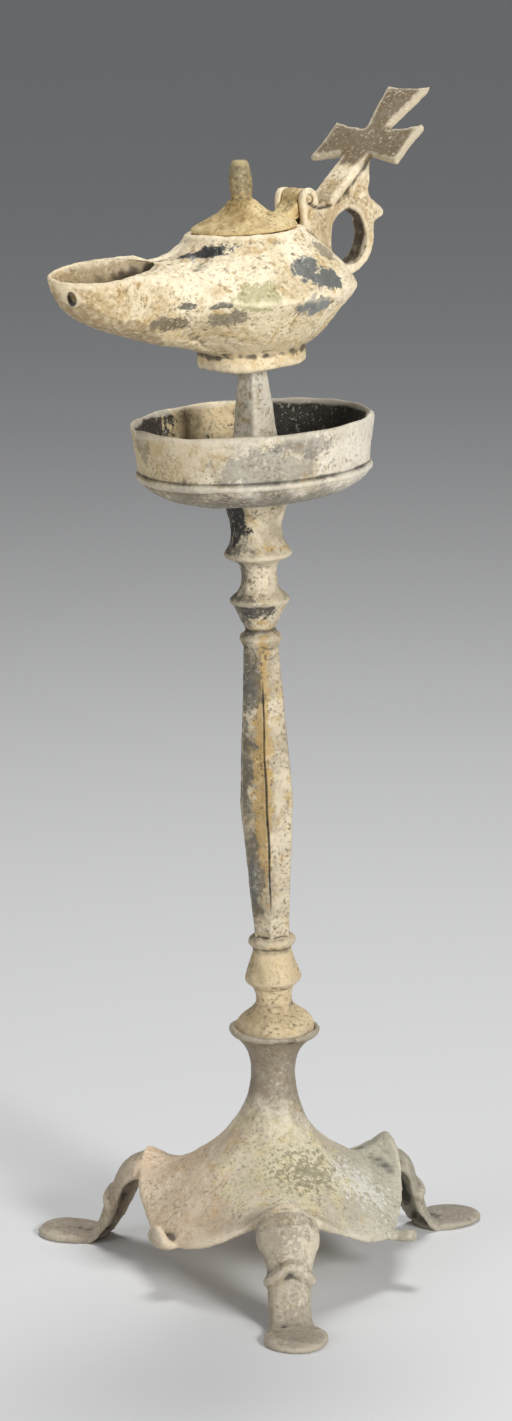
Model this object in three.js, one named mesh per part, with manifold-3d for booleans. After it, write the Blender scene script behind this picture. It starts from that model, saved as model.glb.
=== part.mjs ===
// Bronze oil lamp with a hinged lid and a cross handle, standing on the pricket of a tripod lampstand.
// Millimetres, +Z up. The front leg points along -Y and the origin is under the middle of the object's box.
import * as THREE from 'three';
import { mergeVertices } from 'three/addons/utils/BufferGeometryUtils.js';
import Module from 'manifold-3d';

const wasm = await Module();
wasm.setup();

const FIT_GAP = 0.3;

// Stand: every height is measured above the surface that the feet stand on.
const LEG_COUNT = 3;
const FRONT_LEG_ANGLE = -Math.PI / 2;
const LEG_STEP = (2 * Math.PI) / LEG_COUNT;

// Tripod skirt: a trumpet neck that opens into a draped three-cornered skirt.
const SKIRT_SIDES = 36;
const SKIRT_WALL = 3.4;
const TRUMPET_FLOOR = 38;
const TRUMPET_GAIN = 405;
const DRAPE_START_RADIUS = 20;
const EDGE_RADIUS_AT_LEG = 58.5;
const EDGE_RADIUS_BETWEEN = 55;
const EDGE_LIFT_AT_LEG = 1;
const EDGE_DROP_BETWEEN = 24;
const LIP_FLICK = 13;
const LIP_EXTRA_LIFTS = [2.5, 3, 0];
const LIP_HALF_ANGLES = [15, 24, 16].map(THREE.MathUtils.degToRad);
const LIP_REACHES = [0, 3.5, 0.5];
const LIP_REACH_HALF_ANGLE = THREE.MathUtils.degToRad(32);
const LIP_THICKENING = 1;
const EDGE_PINCH = 8;
const ARCH_SOFTNESS = 0.05;
const ARCH_POWER = 0.45;
const SAG_POWER = 1.4;
const FLICK_POWER = 5;
const SKIRT_OUTER_SHARES = [0, 0.16, 0.36, 0.56, 0.74, 0.88, 0.97];
const SKIRT_INNER_SHARES = [0.9, 0.55, 0.15];
const HOLLOW_TOP = 58;
const HOLLOW_TOP_RADIUS = 9;

// Neck and dish on top of the tripod, as [radius, height].
const DISH_FLOOR = 102.6;
const DISH_RADIUS = 16.9;
const DISH_OFFSET = [1.7, -0.15];
const NECK_BEND_START = 60;
const NECK_PROFILE = [
  [DISH_RADIUS, DISH_FLOOR],
  [17.1, 104.4],
  [17.8, 105.2],
  [18.6, 104.5],
  [18.6, 102.8],
  [13.1, 98.9],
  [10.3, 94],
  [9.4, 85],
  [11.3, 73.8],
  [15.8, 63.6],
];

// Corner knobs on the skirt between the legs: one flattened, one plain, one bent upwards.
const KNOBS = [
  { radius: 58.5, height: 21.5, size: [8, 5.4, 3] },
  { radius: 57.5, height: 22, size: [6.5, 5.2, 4] },
  { radius: 56.5, height: 26.5, size: [5.6, 6, 5] },
];

// Legs: a channel open behind. Each station is ridge radius, ridge height, half width and depth.
const LEG_WALL = 2.8;
const LEG_STATIONS = [
  { radius: 47, height: 36.5, halfWidth: 12, depth: 7 },
  { radius: 57.5, height: 42, halfWidth: 12.8, depth: 8.5 },
  { radius: 65.5, height: 39.8, halfWidth: 13.1, depth: 9 },
  { radius: 71, height: 34, halfWidth: 12.4, depth: 8.5 },
  { radius: 74.2, height: 26.6, halfWidth: 10.2, depth: 7.5 },
  { radius: 77.2, height: 18, halfWidth: 9.3, depth: 7 },
  { radius: 80.5, height: 10, halfWidth: 9.2, depth: 6.2 },
  { radius: 85.5, height: 3.2, halfWidth: 9.6, depth: 5 },
];
const LEG_RISES = [2.4, 0, 0];
const LEG_RISE_START = 69;
const LEG_RISE_FULL = 57;
const LEG_ARC_SIDES = 6;
const ANKLE_BOTTOM = [76.2, 21.5];
const ANKLE_TOP = [74.2, 27];
const ANKLE_HALF_WIDTH = 11;
const ANKLE_DEPTH = 6.5;
const ANKLE_PROUD = 3.6;
const ANKLE_CHEVRON = 7;
const PAD_CENTRE_RADIUS = 94.6;
const PAD_LENGTH = 32;
const PAD_WIDTH = 26.4;
const PAD_THICKNESS = 3.4;
const PAD_SIDES = 14;
const PAD_PROFILE = [
  [0.96, 0],
  [1, 0.45],
  [0.94, 0.9],
  [0.5, 1],
];

// Shaft, as [radius, height]. It leans a little and its bell foot sits off the middle of the dish.
const LEAN_ANGLE = THREE.MathUtils.degToRad(174.35);
const SHAFT_LEAN = THREE.MathUtils.degToRad(1.85);
const SHAFT_SEAT = DISH_FLOOR + 0.95;
const SHAFT_SIDES = 12;
const SHAFT_TOP = 331.5;
const SHAFT_FOOT_PROFILE = [
  [15, SHAFT_SEAT],
  [16.1, 106],
  [16.3, 107.6],
  [15.6, 109.8],
  [13.2, 112.2],
  [9.6, 114.2],
  [7.8, 115.8],
  [7.7, 119],
  [8.4, 123],
  [11.4, 125.6],
  [11.8, 127.2],
  [10.9, 130.5],
  [8.6, 137],
  [7.9, 140.4],
  [9.7, 142.2],
  [10, 143.4],
  [9.3, 144.9],
  [7.2, 146],
];
const SHAFT_HEAD_PROFILE = [
  [7.2, 269.6],
  [8.3, 271.8],
  [8.8, 273.4],
  [7.6, 275.2],
  [6.2, 276.6],
  [7.9, 280.6],
  [10.6, 286.4],
  [12.4, 288.6],
  [12.2, 290],
  [9.4, 292.6],
  [7.6, 296],
  [7.3, 299.6],
  [7.6, 303],
  [9.2, 305.6],
  [13.2, 307.4],
  [14, 308.8],
  [12.6, 310.8],
  [11, 314],
  [10.4, 318],
  [11.1, 323],
  [13.2, 329.6],
  [14.4, SHAFT_TOP],
];
const FACET_SIDES = 6;
const FACET_TURN = THREE.MathUtils.degToRad(-95.65);
const FACET_STATIONS = [
  [6.95, 144.5],
  [10.85, 203.7],
  [7.05, 271],
];

// Drip pan, as [radius, height above the pan's seat], and its square pricket, as [side, height].
const PAN_LEAN = THREE.MathUtils.degToRad(1.15);
const PAN_GAP = 0.6;
const PAN_SIDES = 28;
const PAN_PROFILE = [
  [0, 0],
  [14.8, 0],
  [30, 1.4],
  [40, 4],
  [45.6, 8.2],
  [48.1, 10.6],
  [48.5, 12.2],
  [47.6, 13.6],
  [49, 23.6],
  [49.8, 32.2],
  [48.9, 33],
  [47.5, 32.2],
  [45.6, 14.5],
  [42.6, 9.8],
  [36, 6.4],
  [0, 4],
];
const PRICKET_LEAN = THREE.MathUtils.degToRad(-0.9);
const PRICKET_OFFSET = [0.8, -0.08];
const PRICKET_STATIONS = [
  [18, 3],
  [16.6, 8.5],
  [14.5, 21.5],
  [12.1, 35.5],
  [9.3, 51],
  [5.2, 74],
];

// Lamp: +X runs from the axis to the nozzle's tip, +Y to its left side, heights are above its foot.
const LAMP_ANGLE = THREE.MathUtils.degToRad(219.35);
const LAMP_SEAT = 53.9;
const LAMP_LEAN = THREE.MathUtils.degToRad(1.3);
const SOCKET_GAP = 0.8;
const LAMP_WALL = 3;
const FOOT_PROFILE = [
  [0, 5],
  [18.6, 5],
  [19, 1],
  [21.8, 1],
  [22.4, 2.2],
  [22.1, 6],
  [20.6, 9.5],
  [0, 9.5],
];
const BODY_BASE_RADIUS = 20.6;
const BODY_BASE_HEIGHT = 7.5;
const KEEL_RADIUS = 45;
const KEEL_HEIGHT = 31;
const COLLAR_RADIUS = 25;
const SHOULDER_HEIGHT = 54;
const COLLAR_TOP = 56.2;
const FILL_HOLE_RADIUS = 17.5;
const NOZZLE_TIP = 106.6;
const NOZZLE_RIM_HEIGHT = 50.2;
const NOZZLE_ROLL = 0.14;
const NOZZLE_SHIFT = 0.8;
const NOZZLE_HALF_WIDTH = 16;
const NOZZLE_END_LENGTH = 21;
const NOZZLE_ROOT = 18;
const NOZZLE_SIDE_REACHES = [44, 60];
const NOZZLE_SIDE_WIDENINGS = [13, 1.5];
const NOZZLE_START = 26;
const NOZZLE_FULL = 74;
const OPENING_ROOT = 53.5;
const OPENING_HALF_WIDTH = 13.2;
const OPENING_DEPTH = 3.4;
const OPENING_CUT = 12;
const OPENING_END_LENGTH = 18;
const NOZZLE_RIM_WIDTH = 2.7;
const BELLY_BULGE = 1.25;
const NOZZLE_SLOPE = 0.63;
const NOZZLE_UPTURN = 14;
const SHOULDER_BULGE = 0.72;
const DECK_BULGE = 3.2;
const FLANK_FULLNESS = 5;
const DECK_DIP = 5;
const DECK_DIP_RADIUS = 39.5;
const DECK_DIP_HALF_WIDTH = 13;
const PLAN_POINTS = { round: 9, side: 7, end: 4 };
const BELLY_SHARES = [1, 0.75, 0.5, 0.28, 0.14, 0.05, 0];
const SHOULDER_SHARES = [0.12, 0.38, 0.64, 0.82, 1];
const BELLY_INNER_SHARES = [1, 0.5, 0.14, 0];
const SHOULDER_INNER_SHARES = [0.38, 0.64, 0.82, 1];
const SOCKET_DEPTH = 30;
const SOCKET_WALL = 2.4;
const SLEEVE_FOOT = 1.5;
const FILL_HOLE_CUT = 8;
const WICK_HOLE = { x: 102.5, y: 6, height: 42.4, radius: 1.2, stretch: 1.8, length: 12 };
const WICK_HOLE_ANGLE = THREE.MathUtils.degToRad(40);

// Handle, cross and hinge of the lamp, in the lamp's own X and height.
const HANDLE_WIDTH = 9;
const RING_CENTRE = [-56.7, 46.4];
const RING_HOLE = [10.2, 11];
const HANDLE_ROOT = [-34, 50];
const HANDLE_CREST = [-36, 57];
const WEB_REACH = 34.5;
const WEB_WAIST = [-70.6, 64];
const SPUR_TOP = [-76.6, 57.2];
const SPUR_TIP = [-80, 55];
const SPUR_UNDERSIDE = [-78.2, 52.4];
const RING_BACK = [-73.2, 50.2];
const RING_BOTTOM = [-60, 31.2];
const RING_FOOT = [-45, 29];
const HANDLE_HEEL = [-37, 33];
const HANDLE_ROOT_STATIONS = [
  { x: -25, halfWidth: 8.6, bottom: 40, top: 53.5 },
  { x: -29, halfWidth: 8.8, bottom: 40, top: 56.6 },
  { x: -35, halfWidth: 8.4, bottom: 38, top: 59.4 },
  { x: -41, halfWidth: 6.8, bottom: 36, top: 60.6 },
  { x: -48, halfWidth: 4.9, bottom: 56, top: 60.8 },
];
const CROSS_FOOT = [-45.4, 61.4];
const CROSS_PITCH = THREE.MathUtils.degToRad(36);
const CROSS_THICKNESS = 3.4;
const CROSS_LENGTH = 70.6;
const CROSS_MIDDLE = 36.2;
const CROSS_HALF_SPAN = 25.3;
const CROSS_STEM_HALF = 6.6;
const CROSS_TOP_NECK_HALF = 5.4;
const CROSS_TOP_HALF = 12;
const CROSS_ARM_NECK_HALF = 7.6;
const CROSS_ARM_HALF = 11.6;
const CROSS_END_DIP = 2;
const CROSS_ARM_BEND = 8;
const HINGE_AXIS = [-31.3, 65.2];
const LUG_RADIUS = 5;
const LUG_THICKNESS = 3.8;
const LUG_SPACING = 14;
const LUG_FOOT = 46;
const PIN_RADIUS = 1.35;
const PIN_LENGTH = 15.6;
const BORE_RADIUS = 1.75;
const KNUCKLE_RADIUS = 4.2;
const TONGUE_ROOT = -16;
const TONGUE_BEND = -24;
const TONGUE_TOP = 60.4;
const TONGUE_UNDERSIDE = 57;
const KNUCKLE_WIDTH = LUG_SPACING - LUG_THICKNESS - 2 * FIT_GAP;

// Lid, as [radius, height above the lamp's foot].
const LID_SIDES = 18;
const LID_PROFILE = [
  [0, 61],
  [8, 60.2],
  [14, 58.4],
  [19, 56.8],
  [21.2, 56.7],
  [21.6, 57.5],
  [20.2, 58.8],
  [15.4, 61],
  [10.8, 63.6],
  [7.2, 66.6],
  [5.5, 68.8],
  [4.5, 70.4],
  [4.4, 73],
  [4.9, 77],
  [4.5, 80.5],
  [3.5, 83],
  [1.8, 84.3],
  [0, 84.6],
];

const BRONZE = { metalness: 0.35, roughness: 0.68 };

function bronze(colour) {
  return new THREE.MeshStandardMaterial({ color: colour, ...BRONZE });
}

// Turns a closed geometry into a solid that can be joined and cut.
function solid(geometry) {
  const bare = geometry.clone();
  bare.deleteAttribute('normal');
  bare.deleteAttribute('uv');
  const merged = mergeVertices(bare, 1e-4);
  const index = merged.index.array;
  const triangles = [];
  for (let i = 0; i < index.length; i += 3) {
    const [a, b, c] = [index[i], index[i + 1], index[i + 2]];
    if (a !== b && b !== c && c !== a) {
      triangles.push(a, b, c);
    }
  }
  const vertProperties = Float32Array.from(merged.attributes.position.array);
  const mesh = new wasm.Mesh({ numProp: 3, vertProperties, triVerts: Uint32Array.from(triangles) });
  return new wasm.Manifold(mesh);
}

function geometryOf(shape) {
  const mesh = shape.getMesh();
  const geometry = new THREE.BufferGeometry();
  geometry.setAttribute('position', new THREE.BufferAttribute(mesh.vertProperties, 3));
  geometry.setIndex(new THREE.BufferAttribute(mesh.triVerts, 1));
  geometry.computeVertexNormals();
  return geometry;
}

function joined(shapes) {
  return shapes.reduce((whole, shape) => whole.add(shape));
}

// Closed skin over rings of equal point count, each end filled by a fan from the ring's middle.
function skin(rings) {
  const count = rings[0].length;
  const points = rings.flat();
  const middles = [rings[0], rings.at(-1)].map((ring) => {
    const sum = ring.reduce((total, point) => total.add(point), new THREE.Vector3());
    return sum.divideScalar(count);
  });
  const first = points.length;
  const last = first + 1;
  points.push(...middles);
  const faces = [];
  for (let i = 0; i < count; i += 1) {
    const next = (i + 1) % count;
    faces.push(first, next, i);
    for (let k = 0; k + 1 < rings.length; k += 1) {
      const low = k * count;
      const high = low + count;
      faces.push(low + i, low + next, high + next);
      faces.push(low + i, high + next, high + i);
    }
    const top = (rings.length - 1) * count;
    faces.push(last, top + i, top + next);
  }
  const volume = faces.reduce((total, corner, k) => {
    if (k % 3 > 0) {
      return total;
    }
    const [a, b, c] = [points[corner], points[faces[k + 1]], points[faces[k + 2]]];
    return total + a.dot(b.clone().cross(c));
  }, 0);
  const geometry = new THREE.BufferGeometry().setFromPoints(points);
  geometry.setIndex(volume > 0 ? faces : faces.reverse());
  return geometry;
}

// Solid of revolution about Z from a [radius, height] profile that starts and ends on the axis.
function turned(profile, sides) {
  const closed = profile.map(([radius, height]) => new THREE.Vector2(radius, height));
  if (closed[0].x > 0) {
    closed.unshift(new THREE.Vector2(0, closed[0].y));
  }
  if (closed.at(-1).x > 0) {
    closed.push(new THREE.Vector2(0, closed.at(-1).y));
  }
  const geometry = new THREE.LatheGeometry(closed, sides).rotateX(Math.PI / 2);
  const shape = solid(geometry);
  return shape.volume() > 0 ? shape : solid(flipped(geometry));
}

function flipped(geometry) {
  const turnedOver = geometry.clone();
  turnedOver.setIndex(Array.from(geometry.index.array).reverse());
  return turnedOver;
}

function lowered(profile, height) {
  return profile.map(([radius, level]) => [radius, level - height]);
}

// Turn that tips +Z towards the lean's direction.
function leanTurn(lean) {
  const axis = new THREE.Vector3(-Math.sin(LEAN_ANGLE), Math.cos(LEAN_ANGLE), 0);
  return new THREE.Quaternion().setFromAxisAngle(axis, lean);
}

function atAngle(radius, angle, height) {
  return new THREE.Vector3(radius * Math.cos(angle), radius * Math.sin(angle), height);
}

function nearestLeg(angle) {
  return Math.round((angle - FRONT_LEG_ANGLE) / LEG_STEP) % LEG_COUNT;
}

// Angle from the nearest leg, from -60 to 60 degrees.
function angleFromLeg(angle) {
  const turns = (angle - FRONT_LEG_ANGLE) / LEG_STEP;
  return (turns - Math.round(turns)) * LEG_STEP;
}

// Share of the way from a leg, 0, to the middle between two legs, 1.
function betweenLegs(angle) {
  return (1 - Math.cos(LEG_COUNT * angleFromLeg(angle))) / 2;
}

// Bell curve over each leg: 1 at its middle, fading to its sides.
function nearLeg(angle, halfAngle) {
  return Math.exp(-((angleFromLeg(angle) / halfAngle) ** 2));
}

function lipShare(angle) {
  return nearLeg(angle, LIP_HALF_ANGLES[nearestLeg(angle)]);
}

function edgeRadius(angle) {
  const share = betweenLegs(angle);
  const pinch = EDGE_PINCH * share * (1 - share);
  const reach = LIP_REACHES[nearestLeg(angle)] * nearLeg(angle, LIP_REACH_HALF_ANGLE);
  return THREE.MathUtils.lerp(EDGE_RADIUS_AT_LEG, EDGE_RADIUS_BETWEEN, share) - pinch + reach;
}

function edgeDrop(angle) {
  const share = betweenLegs(angle);
  const arch = Math.pow((share * share) / (share + ARCH_SOFTNESS), ARCH_POWER);
  return THREE.MathUtils.lerp(-EDGE_LIFT_AT_LEG, EDGE_DROP_BETWEEN, arch);
}

// Height of the skirt's upper face: a trumpet that sags outwards and flicks up over each leg.
function skirtHeight(angle, share) {
  const radius = THREE.MathUtils.lerp(DRAPE_START_RADIUS, edgeRadius(angle), share);
  const lip = lipShare(angle);
  const flick = LIP_FLICK * lip;
  const sag = (edgeDrop(angle) + flick) * Math.pow(share, SAG_POWER);
  const lift = flick + LIP_EXTRA_LIFTS[nearestLeg(angle)] * lip;
  return TRUMPET_FLOOR + TRUMPET_GAIN / radius - sag + lift * Math.pow(share, FLICK_POWER);
}

// Point of the skirt, down through its thickness by a share of the wall, which is thicker in the steep lips.
function skirtPoint(angle, share, inset, depthShare) {
  const radius = THREE.MathUtils.lerp(DRAPE_START_RADIUS, edgeRadius(angle), share) - inset;
  const wall = SKIRT_WALL * (1 + LIP_THICKENING * lipShare(angle) * Math.pow(share, 3));
  return atAngle(radius, angle, skirtHeight(angle, share) - depthShare * wall);
}

function skirtSolid() {
  const step = (2 * Math.PI) / SKIRT_SIDES;
  const angles = Array.from({ length: SKIRT_SIDES }, (_, i) => FRONT_LEG_ANGLE + i * step);
  const ring = (place) => angles.map(place);
  const rings = NECK_PROFILE.map(([radius, height]) => {
    const bend = THREE.MathUtils.smoothstep(height, NECK_BEND_START, DISH_FLOOR);
    const shift = new THREE.Vector3(...DISH_OFFSET, 0).multiplyScalar(bend);
    return ring((angle) => atAngle(radius, angle, height).add(shift));
  });
  SKIRT_OUTER_SHARES.forEach((share) => {
    rings.push(ring((angle) => skirtPoint(angle, share, 0, 0)));
  });
  rings.push(ring((angle) => skirtPoint(angle, 1, 0, 0.35)));
  rings.push(ring((angle) => skirtPoint(angle, 1, 0.8, 0.9)));
  SKIRT_INNER_SHARES.forEach((share) => {
    rings.push(ring((angle) => skirtPoint(angle, share, 0.6, 1.12)));
  });
  rings.push(ring((angle) => atAngle(HOLLOW_TOP_RADIUS, angle, HOLLOW_TOP)));
  return solid(skin(rings));
}

function knobSolid(index) {
  const angle = FRONT_LEG_ANGLE + (index + 0.5) * LEG_STEP;
  const knob = new THREE.SphereGeometry(1, 8, 5);
  knob.scale(...KNOBS[index].size);
  knob.rotateZ(angle);
  const middle = atAngle(KNOBS[index].radius, angle, KNOBS[index].height);
  knob.translate(middle.x, middle.y, middle.z);
  return solid(knob);
}

// Half-round section of a leg, across Y and along the ridge's outward normal in the X-Z plane.
function legSection(station, tangent, inset) {
  const halfWidth = station.halfWidth - inset;
  const crown = -inset;
  const back = inset > 0 ? -station.depth - LEG_WALL : -station.depth;
  const along = tangent.clone().normalize();
  const points = [];
  for (let i = 0; i <= LEG_ARC_SIDES; i += 1) {
    const turn = (Math.PI * i) / LEG_ARC_SIDES;
    const out = THREE.MathUtils.lerp(back, crown, Math.pow(Math.sin(turn), 0.75));
    const chevron = (station.chevron ?? 0) * (Math.sin(turn) - 1);
    const x = station.radius - along.y * out - along.x * chevron;
    const z = station.height + along.x * out - along.y * chevron;
    points.push(new THREE.Vector3(x, halfWidth * Math.cos(turn), z));
  }
  return points;
}

function legLoft(inset, rise) {
  const stations = LEG_STATIONS.map((station) => {
    const lift = 1 - THREE.MathUtils.smoothstep(station.radius, LEG_RISE_FULL, LEG_RISE_START);
    return { ...station, height: station.height + rise * lift };
  });
  const rings = stations.map((station, i) => {
    const before = stations[Math.max(i - 1, 0)];
    const after = stations[Math.min(i + 1, stations.length - 1)];
    const tangent = new THREE.Vector2(after.radius - before.radius, after.height - before.height);
    return legSection(station, tangent, inset);
  });
  return solid(skin(rings));
}

// Chevron-shaped ring round the ankle, standing proud of the shin.
function ankleRing() {
  const tangent = new THREE.Vector2(ANKLE_BOTTOM[0] - ANKLE_TOP[0], ANKLE_BOTTOM[1] - ANKLE_TOP[1]);
  const rings = [0, 0.5, 1].map((share) => {
    const bulge = ANKLE_PROUD * (share === 0.5 ? 1 : 0.25);
    const out = new THREE.Vector2(-tangent.y, tangent.x).normalize().multiplyScalar(bulge);
    const station = {
      radius: THREE.MathUtils.lerp(ANKLE_BOTTOM[0], ANKLE_TOP[0], share) + out.x,
      height: THREE.MathUtils.lerp(ANKLE_BOTTOM[1], ANKLE_TOP[1], share) + out.y,
      halfWidth: ANKLE_HALF_WIDTH - (share === 0.5 ? 0 : 1),
      depth: ANKLE_DEPTH,
      chevron: ANKLE_CHEVRON,
    };
    return legSection(station, tangent, 0);
  });
  return solid(skin(rings));
}

function footPad() {
  const pad = turned(PAD_PROFILE, PAD_SIDES);
  const spread = pad.scale([PAD_LENGTH / 2, PAD_WIDTH / 2, PAD_THICKNESS]);
  return spread.translate([PAD_CENTRE_RADIUS, 0, 0]);
}

function legSolid(rise) {
  const channel = legLoft(LEG_WALL, rise);
  return joined([legLoft(0, rise), ankleRing()]).subtract(channel).add(footPad());
}

function tripodGeometry() {
  const shapes = [skirtSolid()];
  for (let i = 0; i < LEG_COUNT; i += 1) {
    const degrees = THREE.MathUtils.radToDeg(FRONT_LEG_ANGLE + i * LEG_STEP);
    shapes.push(legSolid(LEG_RISES[i]).rotate([0, 0, degrees]));
    shapes.push(knobSolid(i));
  }
  return geometryOf(joined(shapes));
}

// Six-sided stretch of the shaft: its faces swell to an angular break and narrow again.
function facetedStretch() {
  const rings = FACET_STATIONS.map(([halfWidth, height]) => {
    const corner = halfWidth / Math.cos(Math.PI / FACET_SIDES);
    return Array.from({ length: FACET_SIDES }, (_, i) => {
      const angle = FACET_TURN + (i * 2 * Math.PI) / FACET_SIDES;
      return atAngle(corner, angle, height - SHAFT_SEAT);
    });
  });
  return solid(skin(rings));
}

function shaftGeometry() {
  const foot = turned(lowered(SHAFT_FOOT_PROFILE, SHAFT_SEAT), SHAFT_SIDES);
  const head = turned(lowered(SHAFT_HEAD_PROFILE, SHAFT_SEAT), SHAFT_SIDES);
  return geometryOf(joined([foot, facetedStretch(), head]));
}

// Square spike, given as [side, height], grown by an even margin for the socket that fits over it.
function squareSpike(stations, margin) {
  const rings = stations.map(([side, height]) => {
    const half = side / 2 + margin;
    const corners = [[half, half], [-half, half], [-half, -half], [half, -half]];
    return corners.map(([x, y]) => new THREE.Vector3(x, y, height));
  });
  return skin(rings);
}

function panGeometry() {
  const pricket = squareSpike(PRICKET_STATIONS, 0).rotateZ(LAMP_ANGLE);
  pricket.applyQuaternion(leanTurn(PRICKET_LEAN));
  pricket.translate(...PRICKET_OFFSET, 0);
  return geometryOf(joined([turned(PAN_PROFILE, PAN_SIDES), solid(pricket)]));
}

// Plan of the lamp's keel: a circle behind, drawn out in front to a nozzle with a round tip.
function keelPlan(inset) {
  const radius = KEEL_RADIUS - inset;
  const halfWidth = NOZZLE_HALF_WIDTH - inset;
  const endLength = NOZZLE_END_LENGTH - inset;
  const endStart = NOZZLE_TIP - NOZZLE_END_LENGTH;
  const arcEnd = Math.acos(NOZZLE_ROOT / radius);
  const side = new THREE.CubicBezierCurve(
    new THREE.Vector2(NOZZLE_ROOT, Math.sqrt(radius ** 2 - NOZZLE_ROOT ** 2)),
    new THREE.Vector2(NOZZLE_SIDE_REACHES[0], halfWidth + NOZZLE_SIDE_WIDENINGS[0]),
    new THREE.Vector2(NOZZLE_SIDE_REACHES[1], halfWidth + NOZZLE_SIDE_WIDENINGS[1]),
    new THREE.Vector2(endStart, halfWidth),
  );
  const half = [];
  for (let i = 0; i < PLAN_POINTS.round; i += 1) {
    const angle = THREE.MathUtils.lerp(Math.PI, arcEnd, i / PLAN_POINTS.round);
    half.push(new THREE.Vector2(radius * Math.cos(angle), radius * Math.sin(angle)));
  }
  for (let i = 0; i < PLAN_POINTS.side; i += 1) {
    half.push(side.getPoint(i / PLAN_POINTS.side));
  }
  for (let i = 0; i <= PLAN_POINTS.end; i += 1) {
    const angle = (Math.PI / 2) * (1 - i / PLAN_POINTS.end);
    half.push(new THREE.Vector2(endStart + endLength * Math.cos(angle), halfWidth * Math.sin(angle)));
  }
  const mirrored = half.slice(1, -1).reverse().map((point) => new THREE.Vector2(point.x, -point.y));
  return [...half, ...mirrored].map((point) => {
    point.y += NOZZLE_SHIFT * nozzleShare(point);
    return point;
  });
}

// Share of a plan point in the nozzle: 0 on the round body, 1 along the nozzle.
function nozzleShare(point) {
  return THREE.MathUtils.smoothstep(point.x, NOZZLE_START, NOZZLE_FULL);
}

// Height of the nozzle's rim, which is rolled down towards +Y.
function rimHeight(y) {
  return NOZZLE_RIM_HEIGHT - NOZZLE_ROLL * THREE.MathUtils.clamp(y, -NOZZLE_HALF_WIDTH, NOZZLE_HALF_WIDTH);
}

// Rise of the belly from the base, 0, to the keel, 1: rounded behind, a ramp with an upturned end in front.
function bellyRise(share, nozzle) {
  const ramp = THREE.MathUtils.lerp(Math.pow(share, NOZZLE_UPTURN), share, NOZZLE_SLOPE);
  return THREE.MathUtils.lerp(Math.pow(share, BELLY_BULGE), ramp, nozzle);
}

// Rise of the upper side from the keel, 0, to the collar, 1.
function shoulderRise(share, nozzle) {
  return Math.pow(share, THREE.MathUtils.lerp(SHOULDER_BULGE, DECK_BULGE, nozzle));
}

// Valley in the deck between the shoulder and the raised rim of the nozzle.
function deckDip(radius, nozzle) {
  const away = (radius - DECK_DIP_RADIUS) / DECK_DIP_HALF_WIDTH;
  return DECK_DIP * nozzle * Math.max(0, 1 - away * away);
}

// Swelling of the flanks where the shoulder runs into the nozzle.
function flankFullness(share, nozzle) {
  return FLANK_FULLNESS * 4 * nozzle * (1 - nozzle) * Math.sin(Math.PI * share);
}

// Lamp body skin: rays fan out from the base to the keel and back in to the collar.
function bodySkin(inset, bellyShares, shoulderShares) {
  const baseRadius = BODY_BASE_RADIUS - inset;
  const baseHeight = BODY_BASE_HEIGHT + inset;
  const collarRadius = COLLAR_RADIUS - inset;
  const topHeight = SHOULDER_HEIGHT - inset * 0.8;
  const plan = keelPlan(inset);
  const place = (end, share, heightOf) => plan.map((point) => {
    const nozzle = nozzleShare(point);
    const keelHeight = THREE.MathUtils.lerp(KEEL_HEIGHT, rimHeight(point.y) - inset * 0.8, nozzle);
    const reach = point.length();
    const radius = THREE.MathUtils.lerp(reach, end, share);
    const height = heightOf(keelHeight, nozzle, radius);
    return new THREE.Vector3((point.x * radius) / reach, (point.y * radius) / reach, height);
  });
  const belly = bellyShares.map((share) => place(baseRadius, share, (keelHeight, nozzle) => (
    THREE.MathUtils.lerp(baseHeight, keelHeight, bellyRise(1 - share, nozzle))
  )));
  const shoulder = shoulderShares.map((share) => place(collarRadius, share, (keelHeight, nozzle, radius) => {
    const height = THREE.MathUtils.lerp(keelHeight, topHeight, shoulderRise(share, nozzle));
    return height - deckDip(radius, nozzle) + flankFullness(share, nozzle);
  }));
  return solid(skin([...belly, ...shoulder]));
}

// Almond-shaped opening of the nozzle, as a prism that cuts down from above.
function nozzleOpening() {
  const tip = NOZZLE_TIP - NOZZLE_RIM_WIDTH;
  const widest = tip - OPENING_END_LENGTH;
  const half = OPENING_HALF_WIDTH;
  const almond = new THREE.Shape();
  almond.moveTo(OPENING_ROOT, 0);
  almond.bezierCurveTo(OPENING_ROOT + 6, half * 0.65, widest - 18, half, widest, half);
  almond.bezierCurveTo(widest + 9, half, tip, half * 0.6, tip, 0);
  almond.bezierCurveTo(tip, -half * 0.6, widest + 9, -half, widest, -half);
  almond.bezierCurveTo(widest - 18, -half, OPENING_ROOT + 6, -half * 0.65, OPENING_ROOT, 0);
  const options = { depth: OPENING_CUT, bevelEnabled: false, curveSegments: 6 };
  const prism = new THREE.ExtrudeGeometry(almond, options);
  prism.translate(0, 0, NOZZLE_RIM_HEIGHT - OPENING_DEPTH);
  prism.applyMatrix4(new THREE.Matrix4().makeShear(0, 0, 0, -NOZZLE_ROLL, 0, 0));
  return solid(prism.translate(0, NOZZLE_SHIFT, 0));
}

// Plate in the lamp's X-height plane, centred on its middle line and given a width across Y.
function uprightPlate(shape, width) {
  const plate = new THREE.ExtrudeGeometry(shape, { depth: width, curveSegments: 6, bevelEnabled: false });
  plate.translate(0, 0, -width / 2);
  return solid(plate.rotateX(Math.PI / 2));
}

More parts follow.
